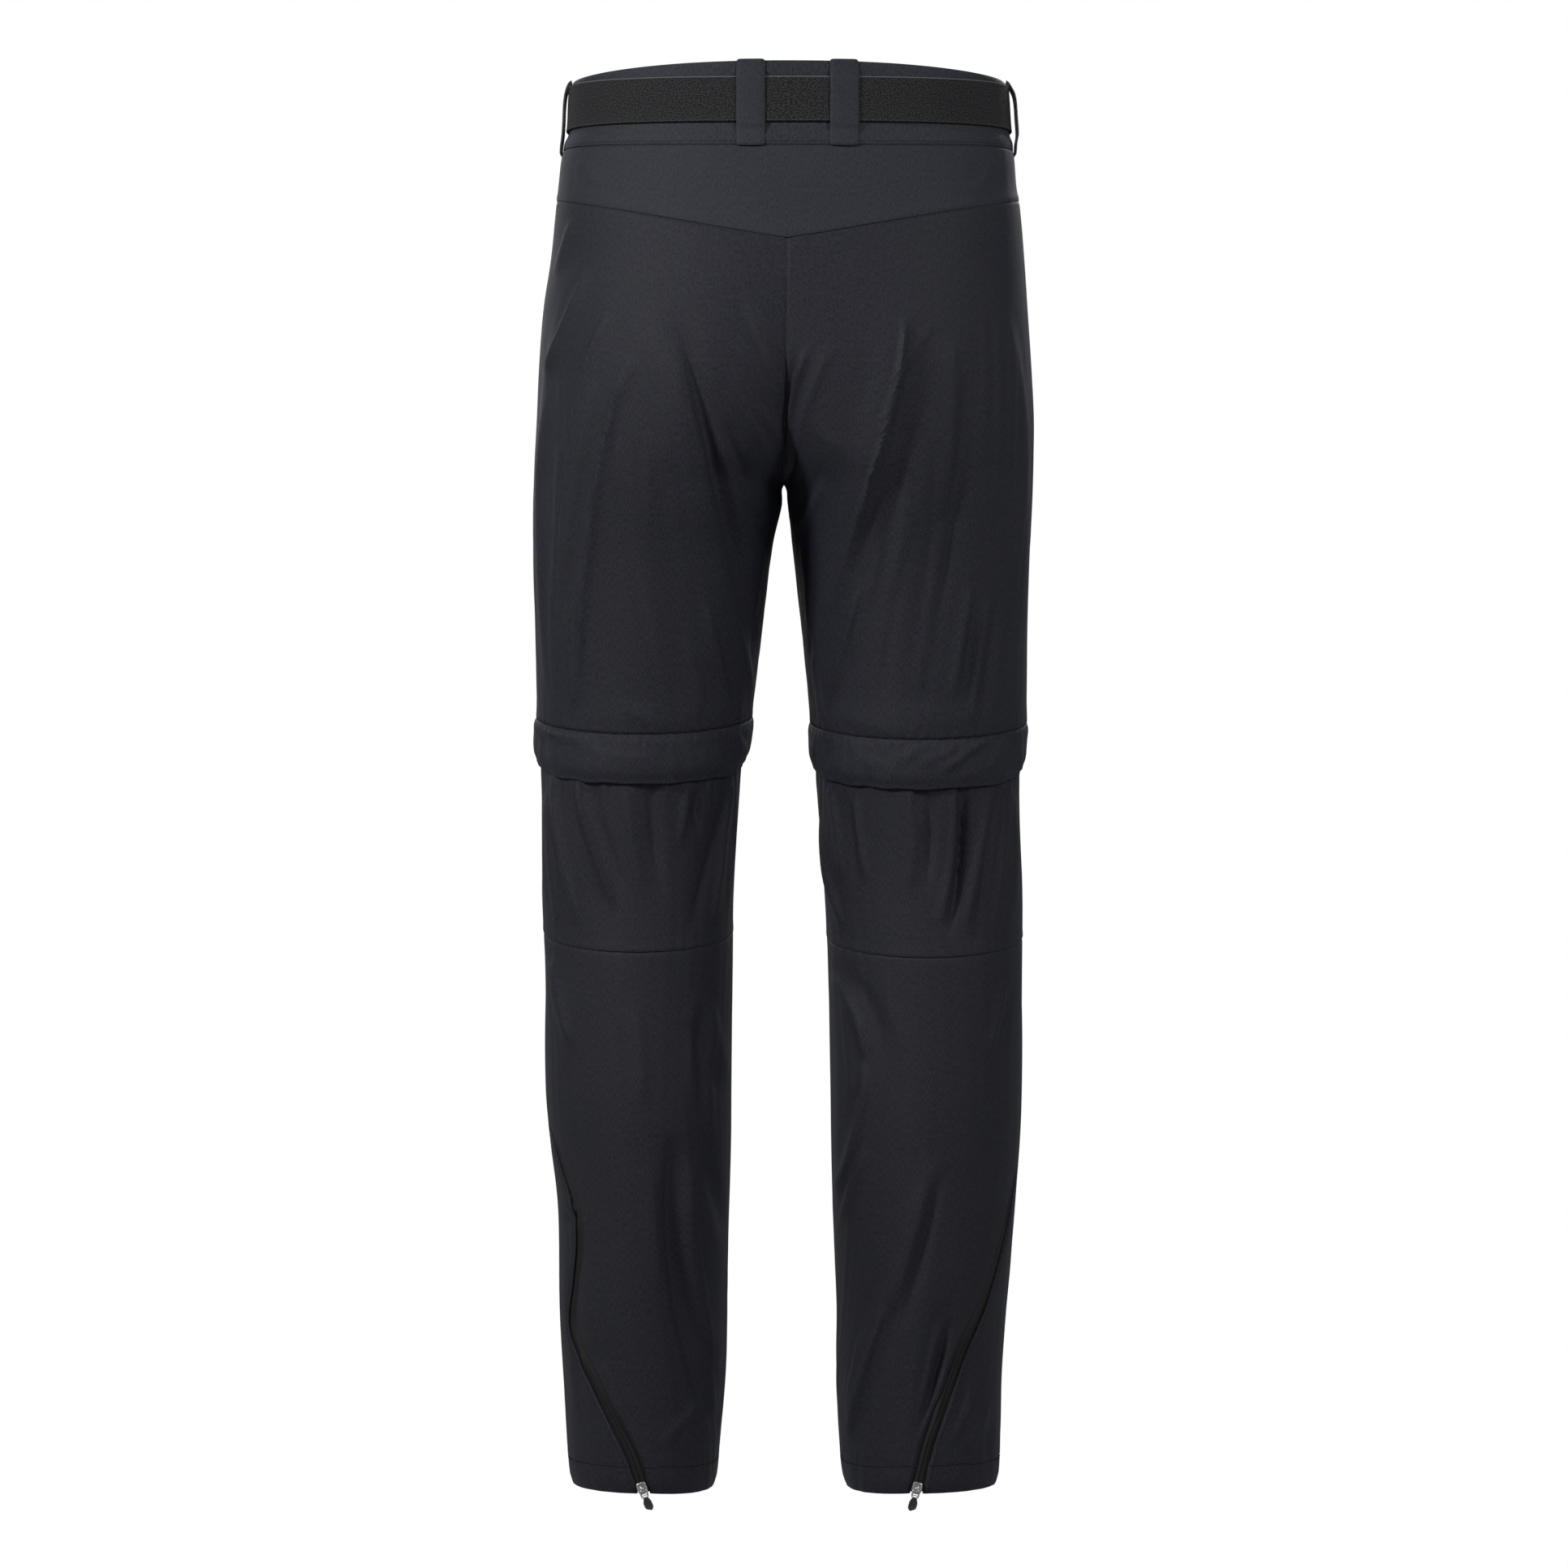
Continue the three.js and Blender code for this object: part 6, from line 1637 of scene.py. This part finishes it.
def round_corners(points, cut, steps=5):
    """The outline through those corners, with each corner replaced by a parabola that starts cut
    of the way along its shorter side."""
    points = np.array(points, float)
    before, after = np.roll(points, 1, 0), np.roll(points, -1, 0)
    reach = cut * np.minimum(np.linalg.norm(before - points, axis=1),
                             np.linalg.norm(after - points, axis=1))[:, None]
    start = points + (before - points) / np.linalg.norm(before - points, axis=1, keepdims=True) * reach
    end = points + (after - points) / np.linalg.norm(after - points, axis=1, keepdims=True) * reach
    t = np.linspace(0, 1, steps)[None, :, None]
    bend = start[:, None] * (1 - t) ** 2 + 2 * points[:, None] * t * (1 - t) + end[:, None] * t**2
    return bend.reshape(-1, 2)


def swept(path, section, closed):
    """A section, (m, 2) across the plane and out of it, carried along a path, (n, 2) in the plane."""
    ahead = np.roll(path, -1, 0) - np.roll(path, 1, 0) if closed else np.gradient(path, axis=0)
    ahead = ahead / np.linalg.norm(ahead, axis=1, keepdims=True)
    side = np.stack([ahead[:, 1], -ahead[:, 0]], -1)
    flat = path[:, None] + side[:, None] * section[None, :, :1]
    return np.concatenate([flat, np.broadcast_to(section[None, :, 1:], (*flat.shape[:2], 1))], -1)


def oval(width, thick, count=16, power=0.6):
    """A rounded bar's section: signed powers of cosine and sine."""
    turn = np.arange(count) * 2 * math.pi / count
    c, s = np.cos(turn), np.sin(turn)
    return np.stack([width / 2 * np.sign(c) * np.abs(c) ** power,
                     thick / 2 * np.sign(s) * np.abs(s) ** power], -1)


def pull_part(name, grids, place, material, node, body):
    """One mesh of several closed grids, each ringed round its columns. A grid that isn't closed
    along its rows is capped at both ends, and the rows of (grid, closed) say which."""
    points, faces, count = [], [], 0
    for grid, closed in grids:
        rows, columns = grid.shape[:2]
        flat = grid.reshape(-1, 3)
        wanted = rows * columns if closed else (rows - 1) * columns
        quads = wall_faces(rows, columns, ring=True, tube=closed)[:wanted]
        if not closed:
            around = np.arange(columns)
            after = (around + 1) % columns
            start, end = len(flat), len(flat) + 1
            flat = np.concatenate([flat, [grid[0].mean(0)], [grid[-1].mean(0)]])
            last = (rows - 1) * columns
            quads = np.concatenate([
                quads,
                np.stack([after, around, np.full(columns, start), np.full(columns, start)], -1),
                np.stack([last + around, last + after, np.full(columns, end), np.full(columns, end)], -1),
            ])
        a, b, c, d = (flat[quads[:, k]] for k in range(4))
        if (a * np.cross(b, c)).sum() + (a * np.cross(c, d)).sum() > 0:
            quads = quads[:, [1, 0, 3, 2]] if closed else np.where(
                (quads[:, 2] == quads[:, 3])[:, None], quads[:, [1, 0, 2, 3]], quads[:, [1, 0, 3, 2]]
            )
        points.append(flat)
        faces.append(quads + count)
        count += len(flat)
    points, faces = in_frame(place, np.concatenate(points)), np.concatenate(faces)
    lists = [face[:3] if face[2] == face[3] else face for face in faces.tolist()]
    mesh = bpy.data.meshes.new(name)
    mesh.from_pydata((points * MM).tolist(), [], lists)
    mesh.polygons.foreach_set("use_smooth", np.ones(len(mesh.polygons), bool))
    mesh.set_sharp_from_angle(angle=math.radians(40))
    mesh.materials.append(material)
    piece = bpy.data.objects.new(name, mesh)
    scene.collection.objects.link(piece)
    dress(piece, node, body)
    return piece


for leg in LEGS:
    place = slider_frame(leg)
    shield = round_corners([(-2.7, -2.8), (2.7, -2.8), (4, 0.2), (3.6, 5.2), (2.4, 6.2), (-2.4, 6.2),
                            (-3.6, 5.2), (-4, 0.2)], 0.42)
    body = layered(shield, [
        (-3.95, 0.82), (-3.8, 0.94), (-3.5, 1), (-2.95, 1), (-2.8, 0.97), (-2.75, 0.84),
        (-2.15, 0.84), (-2.1, 0.97), (-1.95, 1), (-1.4, 1), (-1.1, 0.95), (-0.95, 0.86),
    ])
    arch = np.array([(-1.65, -1.6), (-1.62, -0.3), (-1.45, 0.65), (-0.95, 1.22), (-0.2, 1.42),
                     (0.8, 1.44), (1.7, 1.42), (2.45, 1.2), (2.9, 0.6), (3.02, -0.3), (3.05, -1.6)])
    crown = swept(arch, oval(0.85, 2.0), False)[..., [2, 0, 1]]
    pull_part(f"hem_slider_{leg.name}.metal", [(body, False), (crown, False)], place, METAL,
              f"hem_slider_{leg.name}", "trousers")
    ring = round_corners([(-2.45, 0), (2.45, 0), (2.55, -3.2), (2.0, -5.55), (-2.0, -5.55),
                          (-2.55, -3.2)], 0.45)
    bar = np.array([(-2.5, -3.75), (0, -3.75), (2.5, -3.75)])
    pull_part(f"pull_link_{leg.name}.metal", [(swept(ring, oval(1.15, 1.15), True), True),
                                              (swept(bar, oval(0.7, 0.8), False), False)],
              place, METAL, f"pull_link_{leg.name}", f"pull_{leg.name}")
    lean = -leg.side
    leaf = round_corners([
        (-1.35 * lean, -5.15), (1.35 * lean, -5.15), (2.3 * lean, -6.9), (3.25 * lean, -9.4),
        (3.2 * lean, -13.9), (1.2 * lean, -16.0), (-3.0 * lean, -13.6), (-3.25 * lean, -9.4),
        (-2.3 * lean, -6.9),
    ], 0.35, 9)
    if lean < 0:
        leaf = leaf[::-1]
    edge_side = leaf[:, 0] * lean > 2.9
    leaf[:, 0] += np.where(edge_side, -0.16 * lean * (0.5 + 0.5 * np.cos(leaf[:, 1] * 2 * math.pi / 0.95)), 0)
    grip = layered(leaf, [
        (-1.3, 0.8), (-1.2, 0.9), (-0.95, 0.97), (-0.5, 1), (0.5, 1), (0.95, 0.97), (1.2, 0.9), (1.3, 0.82),
        (1.22, 0.74), (0.95, 0.66), (0.85, 0.5),
    ])
    pull_part(f"pull_grip_{leg.name}.moulded", [(grip, False)], place, MOULDED,
              f"pull_grip_{leg.name}", f"pull_{leg.name}")
